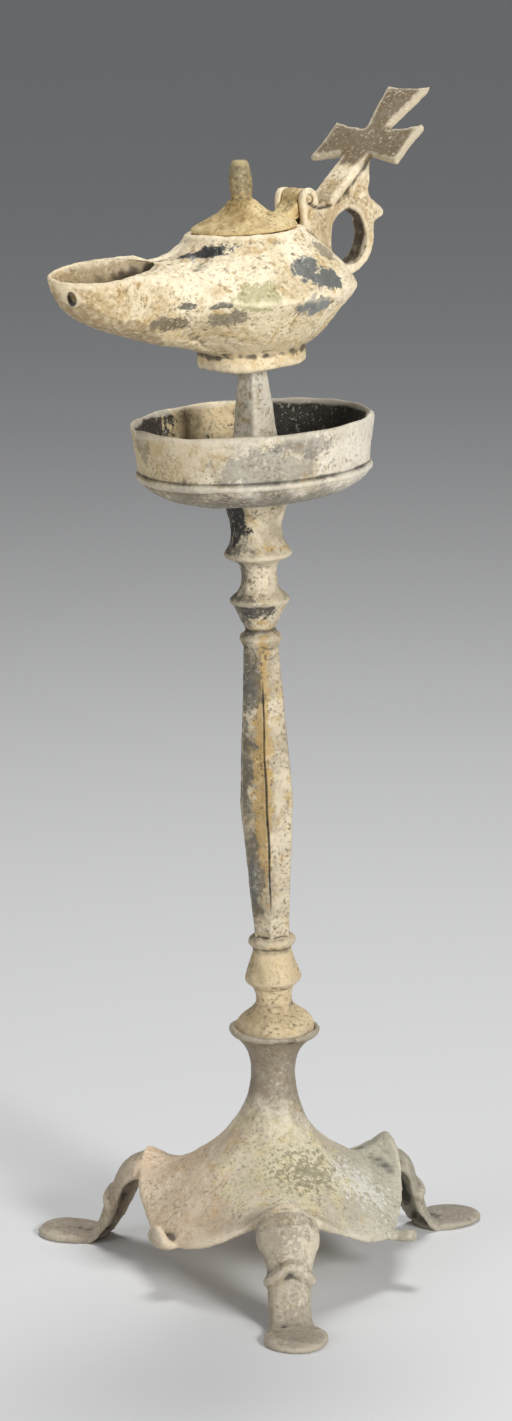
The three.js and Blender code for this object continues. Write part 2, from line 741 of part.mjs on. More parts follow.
// Ring handle with its thumb knob and the web that carries the cross.
function handlePlate() {
  const webTop = [
    CROSS_FOOT[0] - WEB_REACH * Math.cos(CROSS_PITCH),
    CROSS_FOOT[1] + WEB_REACH * Math.sin(CROSS_PITCH),
  ];
  const outline = new THREE.Shape();
  outline.moveTo(...HANDLE_ROOT);
  outline.lineTo(...HANDLE_CREST);
  outline.lineTo(...CROSS_FOOT);
  outline.lineTo(...webTop);
  outline.quadraticCurveTo(webTop[0], WEB_WAIST[1] + 6, ...WEB_WAIST);
  outline.quadraticCurveTo(WEB_WAIST[0] - 1, SPUR_TOP[1] + 2, ...SPUR_TOP);
  outline.quadraticCurveTo(...SPUR_TIP, ...SPUR_UNDERSIDE);
  outline.quadraticCurveTo(SPUR_UNDERSIDE[0] + 2.5, RING_BACK[1] + 0.8, ...RING_BACK);
  outline.bezierCurveTo(RING_BACK[0], 44, -71, 35, ...RING_BOTTOM);
  outline.quadraticCurveTo(-52, 28.5, ...RING_FOOT);
  outline.lineTo(...HANDLE_HEEL);
  outline.closePath();
  const hole = new THREE.Path();
  hole.absellipse(...RING_CENTRE, ...RING_HOLE, 0, 2 * Math.PI, true);
  outline.holes.push(hole);
  return uprightPlate(outline, HANDLE_WIDTH);
}

// Root of the handle between the lugs and the ring: oblong sections that narrow backwards.
function handleRoot() {
  const rings = HANDLE_ROOT_STATIONS.map(({ x, halfWidth, bottom, top }) => [
    new THREE.Vector3(x, -halfWidth, bottom),
    new THREE.Vector3(x, halfWidth, bottom),
    new THREE.Vector3(x, halfWidth, top),
    new THREE.Vector3(x, -halfWidth, top),
  ]);
  return solid(skin(rings));
}

// Flat cross with flaring arms and hollowed ends, leaning back over the handle.
function crossPlate() {
  const low = CROSS_MIDDLE - CROSS_ARM_NECK_HALF;
  const high = CROSS_MIDDLE + CROSS_ARM_NECK_HALF;
  const armLow = CROSS_MIDDLE - CROSS_ARM_HALF;
  const armHigh = CROSS_MIDDLE + CROSS_ARM_HALF;
  const dip = CROSS_HALF_SPAN - CROSS_END_DIP;
  const bend = CROSS_STEM_HALF + CROSS_ARM_BEND;
  const shape = new THREE.Shape();
  shape.moveTo(-CROSS_STEM_HALF, 0);
  shape.lineTo(CROSS_STEM_HALF, 0);
  shape.lineTo(CROSS_STEM_HALF, low);
  shape.lineTo(CROSS_HALF_SPAN, armLow);
  shape.quadraticCurveTo(dip, CROSS_MIDDLE, CROSS_HALF_SPAN, armHigh);
  shape.quadraticCurveTo(bend, high, CROSS_TOP_NECK_HALF, high);
  shape.lineTo(CROSS_TOP_HALF, CROSS_LENGTH);
  shape.quadraticCurveTo(0, CROSS_LENGTH - 2 * CROSS_END_DIP, -CROSS_TOP_HALF, CROSS_LENGTH);
  shape.lineTo(-CROSS_TOP_NECK_HALF, high);
  shape.quadraticCurveTo(-bend, high, -CROSS_HALF_SPAN, armHigh);
  shape.quadraticCurveTo(-dip, CROSS_MIDDLE, -CROSS_HALF_SPAN, armLow);
  shape.lineTo(-CROSS_STEM_HALF, low);
  shape.closePath();
  const options = { depth: CROSS_THICKNESS, bevelEnabled: false, curveSegments: 4 };
  const plate = new THREE.ExtrudeGeometry(shape, options);
  plate.translate(0, 0, -CROSS_THICKNESS / 2);
  plate.rotateZ(Math.PI / 2);
  plate.rotateY(CROSS_PITCH);
  plate.translate(CROSS_FOOT[0], 0, CROSS_FOOT[1]);
  return solid(plate);
}

// Round-headed lug with a bore on the hinge axis, set at one side of the knuckle.
function hingeLug(side) {
  const lug = new THREE.Shape();
  lug.moveTo(HINGE_AXIS[0] - LUG_RADIUS, LUG_FOOT);
  lug.lineTo(HINGE_AXIS[0] + LUG_RADIUS, LUG_FOOT);
  lug.lineTo(HINGE_AXIS[0] + LUG_RADIUS, HINGE_AXIS[1]);
  lug.absarc(...HINGE_AXIS, LUG_RADIUS, 0, Math.PI, false);
  lug.closePath();
  const bore = new THREE.Path();
  bore.absarc(...HINGE_AXIS, BORE_RADIUS, 0, 2 * Math.PI, true);
  lug.holes.push(bore);
  return uprightPlate(lug, LUG_THICKNESS).translate([0, (side * LUG_SPACING) / 2, 0]);
}

// Small slot through the front wall of the nozzle, below its rim.
function wickHole() {
  const { x, y, height, radius, stretch, length } = WICK_HOLE;
  const hole = new THREE.CylinderGeometry(radius, radius, length, 8);
  hole.scale(1, 1, stretch);
  hole.rotateZ(WICK_HOLE_ANGLE - Math.PI / 2);
  hole.translate(x, y, height);
  return solid(hole);
}

function upright(radius, bottom, top) {
  return turned([[radius, bottom], [radius, top]], LID_SIDES);
}

// Square socket in the floor that takes the pricket, with a sleeve that keeps the oil in.
function socketSolids() {
  const onLamp = PRICKET_STATIONS.map(([side, height]) => [side, height - LAMP_SEAT]);
  const [below, tip] = onLamp.slice(-2);
  const sleeve = squareSpike([[below[0], SLEEVE_FOOT], [tip[0], SOCKET_DEPTH]], SOCKET_GAP + SOCKET_WALL);
  const socket = squareSpike([below, [tip[0], tip[1] + SOCKET_GAP]], SOCKET_GAP);
  return [solid(sleeve), solid(socket)];
}

function lampGeometry() {
  const outside = joined([
    bodySkin(0, BELLY_SHARES, SHOULDER_SHARES),
    turned(FOOT_PROFILE, LID_SIDES),
    upright(COLLAR_RADIUS, SHOULDER_HEIGHT - LAMP_WALL, COLLAR_TOP),
    handleRoot(),
    handlePlate(),
    crossPlate(),
    hingeLug(-1),
    hingeLug(1),
  ]);
  const hollow = [
    bodySkin(LAMP_WALL, BELLY_INNER_SHARES, SHOULDER_INNER_SHARES),
    upright(FILL_HOLE_RADIUS, SHOULDER_HEIGHT - FILL_HOLE_CUT, COLLAR_TOP + 1),
    nozzleOpening(),
    wickHole(),
  ];
  const shell = hollow.reduce((rest, shape) => rest.subtract(shape), outside);
  const [sleeve, socket] = socketSolids();
  return geometryOf(shell.add(sleeve).subtract(socket));
}

// Lid with its bud finial, and the tongue behind that rises to the hinge knuckle.
function lidGeometry() {
  const [hingeX, hingeZ] = HINGE_AXIS;
  const tongue = new THREE.Shape();
  tongue.moveTo(TONGUE_ROOT, TONGUE_UNDERSIDE + 1.6);
  tongue.lineTo(TONGUE_ROOT, TONGUE_TOP);
  tongue.quadraticCurveTo(TONGUE_BEND, TONGUE_TOP - 0.8, hingeX + KNUCKLE_RADIUS, hingeZ);
  tongue.absarc(hingeX, hingeZ, KNUCKLE_RADIUS, 0, Math.PI, false);
  tongue.quadraticCurveTo(hingeX - 2.7, TONGUE_UNDERSIDE + 1.4, TONGUE_BEND, TONGUE_UNDERSIDE);
  tongue.closePath();
  const bore = new THREE.Path();
  bore.absarc(hingeX, hingeZ, BORE_RADIUS, 0, 2 * Math.PI, true);
  tongue.holes.push(bore);
  return geometryOf(joined([turned(LID_PROFILE, LID_SIDES), uprightPlate(tongue, KNUCKLE_WIDTH)]));
}

function pinGeometry() {
  const pin = new THREE.CylinderGeometry(PIN_RADIUS, PIN_RADIUS, PIN_LENGTH, 16);
  return pin.translate(HINGE_AXIS[0], 0, HINGE_AXIS[1]);
}

function piece(name, geometry, colour) {
  const mesh = new THREE.Mesh(geometry, bronze(colour));
  mesh.name = name;
  return mesh;
}

function leaningGroup(lean) {
  const group = new THREE.Group();
  group.quaternion.copy(leanTurn(lean));
  return group;
}

const lamp = leaningGroup(LAMP_LEAN);
lamp.position.z = LAMP_SEAT;
lamp.rotateZ(LAMP_ANGLE);
lamp.add(piece('lamp_body', lampGeometry(), 0xb7a684));
lamp.add(piece('lamp_lid', lidGeometry(), 0xa98f57));
lamp.add(piece('hinge_pin', pinGeometry(), 0xb9ad93));

const pricketTop = leaningGroup(PRICKET_LEAN);
pricketTop.position.set(...PRICKET_OFFSET, 0);
pricketTop.add(lamp);

const pan = leaningGroup(PAN_LEAN);
pan.position.z = SHAFT_TOP - SHAFT_SEAT + PAN_GAP;
pan.add(piece('drip_pan', panGeometry(), 0x9c9078));
pan.add(pricketTop);

const shaft = leaningGroup(SHAFT_LEAN);
shaft.position.set(...DISH_OFFSET, SHAFT_SEAT);
shaft.add(piece('baluster_shaft', shaftGeometry(), 0x857863));
shaft.add(pan);

const stand = new THREE.Group();
stand.add(piece('tripod_base', tripodGeometry(), 0xa1957c));
stand.add(shaft);

const object = new THREE.Group();
object.add(stand);
object.updateMatrixWorld(true);
const box = new THREE.Box3().setFromObject(stand, true);
stand.position.set(-(box.min.x + box.max.x) / 2, -(box.min.y + box.max.y) / 2, -box.min.z);
object.updateMatrixWorld(true);

export default object;
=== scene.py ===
"""Bronze oil lamp with a hinged lid on its tripod lampstand: fine shapes and finishes in the shared frame.

Shapes are worked out in millimetres and written to the meshes in metres.
"""

import bpy
import numpy as np
from mathutils import Matrix, Vector


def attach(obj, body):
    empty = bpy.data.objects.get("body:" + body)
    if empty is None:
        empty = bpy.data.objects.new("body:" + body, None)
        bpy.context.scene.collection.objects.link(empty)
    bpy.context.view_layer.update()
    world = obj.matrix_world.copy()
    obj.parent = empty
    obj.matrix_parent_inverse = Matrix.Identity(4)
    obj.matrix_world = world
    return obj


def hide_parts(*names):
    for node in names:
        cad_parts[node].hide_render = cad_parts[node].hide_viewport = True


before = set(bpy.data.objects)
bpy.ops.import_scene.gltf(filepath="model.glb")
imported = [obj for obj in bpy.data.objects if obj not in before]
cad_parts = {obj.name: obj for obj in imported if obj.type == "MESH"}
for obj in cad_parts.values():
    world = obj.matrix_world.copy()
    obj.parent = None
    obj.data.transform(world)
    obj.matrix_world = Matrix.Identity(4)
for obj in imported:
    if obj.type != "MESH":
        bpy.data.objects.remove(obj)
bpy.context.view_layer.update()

MM = 0.001
STAND = np.array([0.0, 16.995, 0.0])

# Camera, measured from the stand's axis on the floor, for a picture of this size in pixels.
PICTURE = (512, 1421)
CAMERA_AZIMUTH = np.radians(-5.65)
CAMERA_SIDE = -5.9
CAMERA_DISTANCE = 1875.0
CAMERA_HEIGHT = 668.0
CAMERA_PITCH = np.radians(12.8)
CAMERA_ROLL = np.radians(-0.19)
FOCAL_PIXELS = 4630.0
SENSOR = 36.0

# Tripod, about the stand's axis.
LEG_COUNT = 3
FRONT_LEG = -np.pi / 2
LEG_STEP = 2 * np.pi / LEG_COUNT
SKIRT_WALL = 3.4
TRUMPET_FLOOR = 38.0
TRUMPET_GAIN = 405.0
DRAPE_START = 20.0
EDGE_AT_LEG = 58.5
EDGE_BETWEEN = 55.0
EDGE_LIFT = 1.0
EDGE_DROP = 24.0
EDGE_PINCH = 8.0
EDGE_DROP_EASE = 0.05
EDGE_DROP_POWER = 0.45
LIP_FLICK = 13.0
LIP_EXTRA = np.array([2.5, 3.0, 0.0])
LIP_HALF_ANGLES = np.radians([15, 24, 16])
LIP_REACH = np.array([0.0, 3.5, 0.5])
LIP_REACH_HALF_ANGLE = np.radians(32)
LIP_THICKENING = 1.0
HOLLOW_TOP = (9.0, 58.0)
DISH_FLOOR = 102.6
DISH_OFFSET = np.array([1.7, -0.15, 0.0])
NECK_BEND_START = 60.0
NECK_PROFILE = [
    (0.5, 102.6), (10, 102.6), (15.8, 102.6), (16.7, 103.2), (16.8, 104.8), (17.2, 105.9), (17.9, 106.0),
    (18.8, 105.3), (19.0, 104.2), (18.5, 103.1), (17.2, 102.2), (15.8, 101.5), (14.2, 100.0), (12.2, 97.4),
    (10.5, 94.2), (9.6, 89.5), (9.4, 85.0),
    (9.9, 79.6), (11.3, 73.8), (13.2, 68.6), (15.8, 63.6),
]
# Corner tongues as (radius, height, half width, half thickness) along each, the left one curled up.
FLAT_TONGUE = np.array([
    (47, 22.6, 6.5, 1.6), (54, 20.8, 5.6, 1.8), (59, 20.8, 4.4, 1.7),
    (62.5, 21.4, 4.2, 2.4), (65.5, 22.0, 3.2, 2.3), (66.8, 22.2, 1.0, 0.8),
])
CURLED_TONGUE = np.array([
    (46, 23.6, 7.5, 1.9), (52, 20.8, 7.2, 2.5), (56, 20.8, 6.8, 2.9),
    (58.8, 23.2, 6.2, 3.0), (59.0, 26.6, 4.8, 2.6), (58.0, 28.8, 1.6, 1.2),
])
LEG_WALL = 2.8
LEG_RISES = (2.4, 0.0, 0.0)
LEG_STATIONS = np.array([
    (47, 37, 12, 7), (57.5, 42, 12.8, 8.5), (65.5, 39.8, 13.1, 9), (71, 34, 12.4, 8.5),
    (74.2, 26.6, 10.2, 7.5), (77.2, 18, 9.3, 7), (80.5, 10, 9.2, 6.2),
    (85.5, 3.6, 9.8, 5), (91, 1.6, 11.2, 4),
])
ANKLE_RADIUS = 74.8
ANKLE_CHEVRON = 6.0
ANKLE_BAND = 2.1
# Where the foot pads run into the shins and are smoothed: bottom and top fade in height, and inner radius.
PAD_EASE_BOTTOM = (2.2, 4.2)
PAD_EASE_TOP = (9, 13)
PAD_EASE_RADIUS = 74
PAD_RADIUS = 94.6
PAD_SIZE = np.array([16.0, 13.2, 3.4])

# Leaning groups above the tripod.
LEAN_ANGLE = np.radians(174.35)
SHAFT_LEAN = np.radians(1.85)
SHAFT_SEAT = DISH_FLOOR + 0.95
SHAFT_TOP = 331.5
PAN_LEAN = np.radians(1.15)
PAN_GAP = 0.6
PRICKET_LEAN = np.radians(-0.9)
PRICKET_OFFSET = np.array([0.8, -0.08, 0.0])
LAMP_LEAN = np.radians(1.3)
LAMP_SEAT = 53.9
LAMP_ANGLE = np.radians(219.35)

# Shaft, as (radius, height above the floor).
SHAFT_PROFILE = [
    (16.0, 103.55), (16.4, 104.4), (16.4, 106.0), (16.1, 107.6), (15.2, 109.4), (13.7, 111.0), (11.6, 112.6),
    (9.5, 114.2), (8.1, 115.9), (7.6, 118.6), (7.9, 121.4), (8.6, 123.2), (10.6, 125), (11.7, 126.2),
    (11.8, 127.4), (11.3, 129.4), (10.2, 132.6), (8.9, 136.4), (8.0, 139.4), (8.2, 140.8), (9.5, 142),
    (10.0, 143.2), (9.7, 144.4), (8.6, 145.3), (7.2, 146), (5.0, 149), (4.0, 160), (4.0, 258), (5.2, 267),
    (7.2, 269.6), (8.2, 271.4), (8.8, 273.2), (8.2, 274.6), (6.9, 275.8), (6.3, 276.9), (6.9, 278.6),
    (8.2, 281.4), (10.0, 285.2), (11.4, 287.6), (12.3, 288.6), (12.4, 289.5), (11.6, 290.6), (9.6, 292.5),
    (8.3, 294.4), (7.6, 296.6), (7.3, 299.4), (7.5, 302.4), (8.2, 304.4), (9.6, 305.8), (12.2, 306.9),
    (13.8, 307.9), (14.0, 308.9), (13.2, 310.2), (12.0, 312), (11.1, 314.4), (10.5, 317.4), (10.6, 320.4),
    (11.2, 323.6), (12.2, 327), (13.4, 330), (14.4, 331.5),
]
FACET_SIDES = 6
FACET_TURN = np.radians(-95.65)
FACET_STATIONS = np.array([(6.95, 144.5), (10.85, 203.7), (7.05, 271.0)])
FACET_ROUNDING = 46.0

# Drip pan, as (radius, height above its seat), and its pricket, as (side, height).
PAN_PROFILE = [
    (0.2, 0), (8, 0), (14.8, 0), (22, 0.5), (30, 1.4), (36, 2.6), (40.6, 4.4), (44.2, 6.8), (46.4, 9),
    (47.3, 10.2), (48.2, 10.8), (48.6, 11.6), (48.5, 12.4), (48.0, 13.0), (47.7, 13.4), (47.7, 14.2),
    (48.1, 18), (48.9, 23.6), (49.5, 28.6), (49.8, 31.4), (49.7, 32.4), (49.1, 33), (48.2, 32.9),
    (47.6, 32.2), (47.2, 29), (46.4, 22), (45.6, 14.5), (44.6, 11.8), (42.6, 9.8), (39.4, 7.9), (36, 6.4),
    (30, 5.6), (15, 4.6), (6, 4.2), (0.2, 4),
]
PAN_GROOVE = 13.6
PRICKET_STATIONS = np.array([
    (18.6, 3), (17.8, 5), (16.6, 8.5), (14.5, 21.5), (12.1, 35.5), (9.3, 51), (5.2, 73.4), (4.2, 74),
])
PRICKET_CORNER = 0.22

# Lamp, in its own frame: x from the axis to the nozzle's tip, y to its left side, z above its foot.
LAMP_WALL = 3.0
FOOT_PROFILE = [
    (0.2, 5), (12, 5), (18.2, 4.8), (18.9, 3.4), (19.3, 1.2), (20.4, 0.9), (21.7, 1.1), (22.4, 2.2),
    (22.5, 4), (22.1, 6.2), (21.2, 8.4), (20.2, 10), (12, 10), (0.2, 10),
]
BODY_BASE = (20.6, 7.5)
KEEL_RADIUS = 45.0
KEEL_HEIGHT = 31.0
COLLAR_RADIUS = 25.0
SHOULDER_HEIGHT = 54.0
COLLAR_TOP = 56.2
FILL_HOLE_RADIUS = 17.5
NOZZLE_TIP = 106.6
NOZZLE_RIM = 50.2
NOZZLE_ROLL = 0.14
NOZZLE_SHIFT = 0.8
NOZZLE_HALF_WIDTH = 16.0
NOZZLE_END = 21.0
NOZZLE_ROOT = 18.0
NOZZLE_SIDE_REACHES = (44.0, 60.0)
NOZZLE_SIDE_WIDENINGS = (13.0, 1.5)
NOZZLE_START = 26.0
NOZZLE_FULL = 74.0
BELLY_BULGE = 1.25
NOZZLE_SLOPE = 0.63
NOZZLE_UPTURN = 14.0
SHOULDER_BULGE = 0.72
DECK_BULGE = 3.2
KEEL_EASING = 36
FLANK_FULLNESS = 5.0
DECK_DIP = 5.0
DECK_DIP_RADIUS = 39.5
DECK_DIP_HALF_WIDTH = 13.0
OPENING_ROOT = 53.5
OPENING_HALF_WIDTH = 13.2
OPENING_CUT = 9.0
WELL_DEPTH = 14.0
WELL_MIDDLE = 78.5
WELL_HALVES = (26.0, 13.4)
WELL_WALL = 2.0
WELL_TIP_SLOPE = 0.75
WELL_ROOT_SLOPE = 0.1
WELL_SIDE_SLOPE = 0.25
OPENING_END = 18.0
NOZZLE_RIM_WIDTH = 2.7
WICK_HOLE = np.array([102.0, 5.6, 42.4])
WICK_HOLE_RADII = (1.25, 2.3)
WICK_HOLE_LENGTH = 13.0
WICK_HOLE_ANGLE = np.radians(40)
SOCKET_DEPTH = 30.0
SOCKET_GAP = 0.8
SOCKET_WALL = 2.4
SLEEVE_FOOT = 1.5

# Handle, cross and hinge, in the lamp's x and z.
HANDLE_WIDTH = 9.0
HANDLE_ROOT = (-34.0, 50.0)
HANDLE_CREST = (-36.0, 57.0)
RING_CENTRE = (-56.7, 46.4)
RING_HOLE = (10.2, 11.0)
WEB_REACH = 34.5
WEB_WAIST = (-70.6, 64.0)
SPUR_TOP = (-76.6, 57.2)
SPUR_TIP = (-80.0, 55.0)
SPUR_UNDERSIDE = (-78.2, 52.4)
RING_BACK = (-73.2, 50.2)
RING_LOW_BACK = (-71.0, 35.0)
RING_BOTTOM = (-60.0, 31.2)
RING_FOOT = (-45.0, 29.0)
HANDLE_HEEL = (-37.0, 33.0)
CROSS_FOOT = np.array([-45.4, 61.4])
CROSS_PITCH = np.radians(36)
CROSS_THICKNESS = 3.4
CROSS_LENGTH = 70.6
CROSS_MIDDLE = 36.2
CROSS_HALF_SPAN = 25.3
CROSS_STEM_HALF = 6.6
CROSS_TOP_NECK = 5.4
CROSS_TOP_HALF = 12.0
CROSS_ARM_NECK = 7.6
CROSS_ARM_HALF = 11.6
CROSS_END_DIP = 2.0
CROSS_ARM_BEND = 8.0
HINGE_AXIS = (-31.3, 65.2)
LUG_RADIUS = 5.0
LUG_THICKNESS = 3.8
LUG_SPACING = 14.0
LUG_FOOT = 46.0
SCROLL_SEAM = [(-30.9, 63.6), (-32.4, 61.9), (-35.5, 61.0), (-40, 60.4), (-45.2, 60.6)]
# Root of the handle as (x, half width, bottom, top) from the lugs backwards.
GUSSET_STATIONS = np.array([
    (-25, 8.6, 40, 53.5), (-29, 8.8, 40, 56.6), (-35, 8.4, 38, 59.4),
    (-41, 6.8, 36, 60.6), (-48, 4.9, 56, 60.8),
])
BORE_RADIUS = 1.75
PIN_RADIUS = 1.35
PIN_LENGTH = 15.6
KNUCKLE_RADIUS = 4.2
KNUCKLE_WIDTH = 9.6
TONGUE_ROOT = -16.0
TONGUE_BEND = -24.0
TONGUE_TOP = 60.4
TONGUE_UNDERSIDE = 57.0
LID_PROFILE = [
    (0.2, 61), (4, 60.8), (8, 60.2), (14, 58.4), (18.4, 57.0), (20.2, 56.6), (21.2, 56.6), (21.6, 57.1),
    (21.4, 57.9), (20.6, 58.5), (18.4, 59.5), (15.4, 61), (12.8, 62.3), (10.4, 63.8), (8.4, 65.5),
    (6.9, 67.0), (6.1, 68.0), (5.5, 68.5), (4.5, 68.8), (4.1, 69.4), (4.3, 70.4), (4.6, 72.4), (4.75, 74.6),
    (4.65, 77.0), (4.3, 79.6), (3.85, 82.0), (3.6, 83.3), (3.1, 84.1), (2.0, 84.5), (0.2, 84.6),
]

# Mesh fineness: voxel sizes in millimetres and grid counts.
LAMP_VOXEL = 0.9
BASE_VOXEL = 0.9
LID_VOXEL = 0.55
WAVES = 14


def smoothstep(value, low, high):
    """Smooth rise from 0 at low to 1 at high."""
    share = np.clip((value - low) / (high - low), 0, 1)
    return share * share * (3 - 2 * share)


def mix(low, high, share):
    """Straight blend from low to high."""
    return low + (high - low) * share


def polar(radius, angle, height):
    """Points at a radius, an angle and a height round the z axis."""
    return np.stack(np.broadcast_arrays(radius * np.cos(angle), radius * np.sin(angle), height), -1)


def bezier(points, shares):
    """Bezier curve: repeated mixing of neighbouring control points at each share."""
    level = [np.asarray(point, float)[None, :] for point in points]
    while len(level) > 1:
        level = [mix(a, b, shares[:, None]) for a, b in zip(level, level[1:])]
    return np.broadcast_to(level[0], (len(shares), level[0].shape[1]))


def through(points, count):
    """Curve through the points, evenly spaced along its length: a cubic between neighbours."""
    knots = np.asarray(points, float)
    steps = np.linalg.norm(np.diff(knots, axis=0), axis=1)
    along = np.concatenate([[0], np.cumsum(steps)])
    slopes = np.gradient(knots, along, axis=0)
    where = np.linspace(0, along[-1], count)
    index = np.clip(np.searchsorted(along, where, side="right") - 1, 0, len(steps) - 1)
    width = steps[index][:, None]
    share = (where - along[index])[:, None] / width
    start, end = knots[index], knots[index + 1]
    rise = (end - start) / width
    bend_in = slopes[index] - rise
    bend_out = rise - slopes[index + 1]
    return mix(start, end, share) + share * (1 - share) * width * (bend_in * (1 - share) + bend_out * share)


def turned(profile, count, sides):
    """Surface of revolution: the profile's curve as radius and height, carried round the z axis."""
    curve = through(profile, count)
    angle = np.linspace(0, 2 * np.pi, sides, endpoint=False)
    return loft(polar(np.maximum(curve[:, :1], 0), angle[None, :], curve[:, 1:]))


def loft(rings, hollow_ends=False):
    """Closed skin over a grid of rings: two triangles a cell, ends filled by a fan or, for a C, a strip."""
    rows, columns = rings.shape[:2]
    points = rings.reshape(-1, 3)
    here = np.arange(columns)
    after = np.roll(here, -1)
    low = (np.arange(rows - 1) * columns)[:, None]
    high = low + columns
    first = np.stack([low + here, low + after, high + after], -1).reshape(-1, 3)
    second = np.stack([low + here, high + after, high + here], -1).reshape(-1, 3)
    top = (rows - 1) * columns
    if hollow_ends:
        half = np.arange(columns // 2 - 1)
        far = columns - 1 - half
        strip = np.concatenate([
            np.stack([half, far, far - 1], -1),
            np.stack([half, far - 1, half + 1], -1),
        ])
        ends = [strip, strip[:, ::-1] + top]
    else:
        middles = np.stack([rings[0].mean(0), rings[-1].mean(0)])
        points = np.concatenate([points, middles])
        start = np.full(columns, rows * columns)
        ends = [np.stack([start, after, here], -1), np.stack([start + 1, top + here, top + after], -1)]
    return outward(points, np.concatenate([first, second] + ends))


def outward(points, faces):
    """The same shell with its faces pointing out: they are turned over if the signed volume is negative."""
    a, b, c = (points[faces[:, k]] for k in range(3))
    volume = np.einsum("ij,ij->", a, np.cross(b, c))
    return (points, faces) if volume > 0 else (points, faces[:, ::-1])


def together(*shells):
    """Several shells as one list of points and faces."""
    starts = np.cumsum([0] + [len(points) for points, _ in shells[:-1]])
    return (
        np.concatenate([points for points, _ in shells]),
        np.concatenate([faces + start for (_, faces), start in zip(shells, starts)]),
    )


def moved(shell, matrix):
    """The shell carried by a matrix."""
    points, faces = shell
    return points @ matrix[:3, :3].T + matrix[:3, 3], faces


def placed_at(offset):
    """Matrix that shifts by an offset."""
    matrix = np.eye(4)
    matrix[:3, 3] = offset
    return matrix


def turned_about(axis, angle):
    """Matrix that turns about an axis."""
    matrix = np.eye(4)
    matrix[:3, :3] = np.array(Matrix.Rotation(angle, 3, axis))
    return matrix


def leaning(angle):
    """Matrix that leans towards the stand's lean direction."""
    return turned_about((-np.sin(LEAN_ANGLE), np.cos(LEAN_ANGLE), 0), angle)


TRIPOD_PLACE = placed_at(STAND)
SHAFT_PLACE = TRIPOD_PLACE @ placed_at(DISH_OFFSET + (0, 0, SHAFT_SEAT)) @ leaning(SHAFT_LEAN)
PAN_PLACE = SHAFT_PLACE @ placed_at((0, 0, SHAFT_TOP - SHAFT_SEAT + PAN_GAP)) @ leaning(PAN_LEAN)
PRICKET_PLACE = PAN_PLACE @ placed_at(PRICKET_OFFSET) @ leaning(PRICKET_LEAN)
LAMP_PLACE = (
    PRICKET_PLACE @ placed_at((0, 0, LAMP_SEAT)) @ leaning(LAMP_LEAN) @ turned_about((0, 0, 1), LAMP_ANGLE)
)


def mesh_from(name, points, faces):
    """Mesh of triangles in metres from arrays in millimetres."""
    mesh = bpy.data.meshes.new(name)
    mesh.vertices.add(len(points))
    mesh.vertices.foreach_set("co", (points * MM).astype(np.float32).ravel())
    mesh.loops.add(3 * len(faces))
    mesh.loops.foreach_set("vertex_index", faces.astype(np.int32).ravel())
    mesh.polygons.add(len(faces))
    mesh.polygons.foreach_set("loop_start", np.arange(0, 3 * len(faces), 3, dtype=np.int32))
    mesh.update(calc_edges=True)
    mesh.validate()
    return mesh


def arrays_from(mesh):
    """Points in millimetres and triangles of a mesh."""
    mesh.calc_loop_triangles()
    points = np.empty(3 * len(mesh.vertices), np.float32)
    mesh.vertices.foreach_get("co", points)
    faces = np.empty(3 * len(mesh.loop_triangles), np.int32)
    mesh.loop_triangles.foreach_get("vertices", faces)
    return points.reshape(-1, 3).astype(float) / MM, faces.reshape(-1, 3)


def work_object(name, shell):
    """Object for a boolean or a remesh, removed once it has been used."""
    thing = bpy.data.objects.new(name, mesh_from(name, *shell))
    bpy.context.scene.collection.objects.link(thing)
    return thing


def settled(thing, helpers=()):
    """Arrays of an object with its modifiers applied. The object and its helpers are then removed."""
    depsgraph = bpy.context.evaluated_depsgraph_get()
    mesh = bpy.data.meshes.new_from_object(thing.evaluated_get(depsgraph))
    shell = arrays_from(mesh)
    bpy.data.meshes.remove(mesh)
    for spare in (thing, *helpers):
        data = spare.data
        bpy.data.objects.remove(spare)
        if isinstance(data, bpy.types.Mesh):
            bpy.data.meshes.remove(data)
        else:
            bpy.data.curves.remove(data)
    return shell


def cut(shell, *cutters):
    """The shell less each cutter, both closed."""
    thing = work_object("blank", shell)
    tools = [work_object("cutter", cutter) for cutter in cutters]
    for tool in tools:
        step = thing.modifiers.new("cut", "BOOLEAN")
        step.operation = "DIFFERENCE"
        step.solver = "EXACT"
        step.object = tool
    return settled(thing, tools)


def fused(shell, voxel):
    """One skin round overlapping closed shells, on a grid of that size."""
    thing = work_object("blank", shell)
    step = thing.modifiers.new("fuse", "REMESH")
    step.mode = "VOXEL"
    step.voxel_size = voxel * MM
    step.adaptivity = 0
    return settled(thing)


def plate(outlines, width, bevel):
    """Flat plate in x and z from closed outlines, later ones holes, centred on y, edges eased."""
    curve = bpy.data.curves.new("plate", "CURVE")
    curve.dimensions = "2D"
    curve.fill_mode = "BOTH"
    curve.extrude = (width / 2 - bevel) * MM
    curve.bevel_depth = bevel * MM
    curve.bevel_resolution = 1
    curve.offset = -bevel * MM
    for outline in outlines:
        spline = curve.splines.new("POLY")
        spline.points.add(len(outline) - 1)
        flat = np.zeros((len(outline), 4))
        flat[:, :2] = outline * MM
        flat[:, 3] = 1
        spline.points.foreach_set("co", flat.ravel())
        spline.use_cyclic_u = True
    thing = bpy.data.objects.new("plate", curve)
    bpy.context.scene.collection.objects.link(thing)
    return moved(settled(thing), turned_about((1, 0, 0), np.pi / 2))


def neighbour_mean(points, faces):
    """Mean of each point's neighbours along the triangle edges."""
    start = np.concatenate([faces[:, k] for k in (0, 1, 2)])
    end = np.concatenate([faces[:, k] for k in (1, 2, 0)])
    count = np.maximum(np.bincount(start, minlength=len(points)), 1)
    sums = [np.bincount(start, weights=points[end, k], minlength=len(points)) for k in range(points.shape[1])]
    return np.stack(sums, -1) / count[:, None]


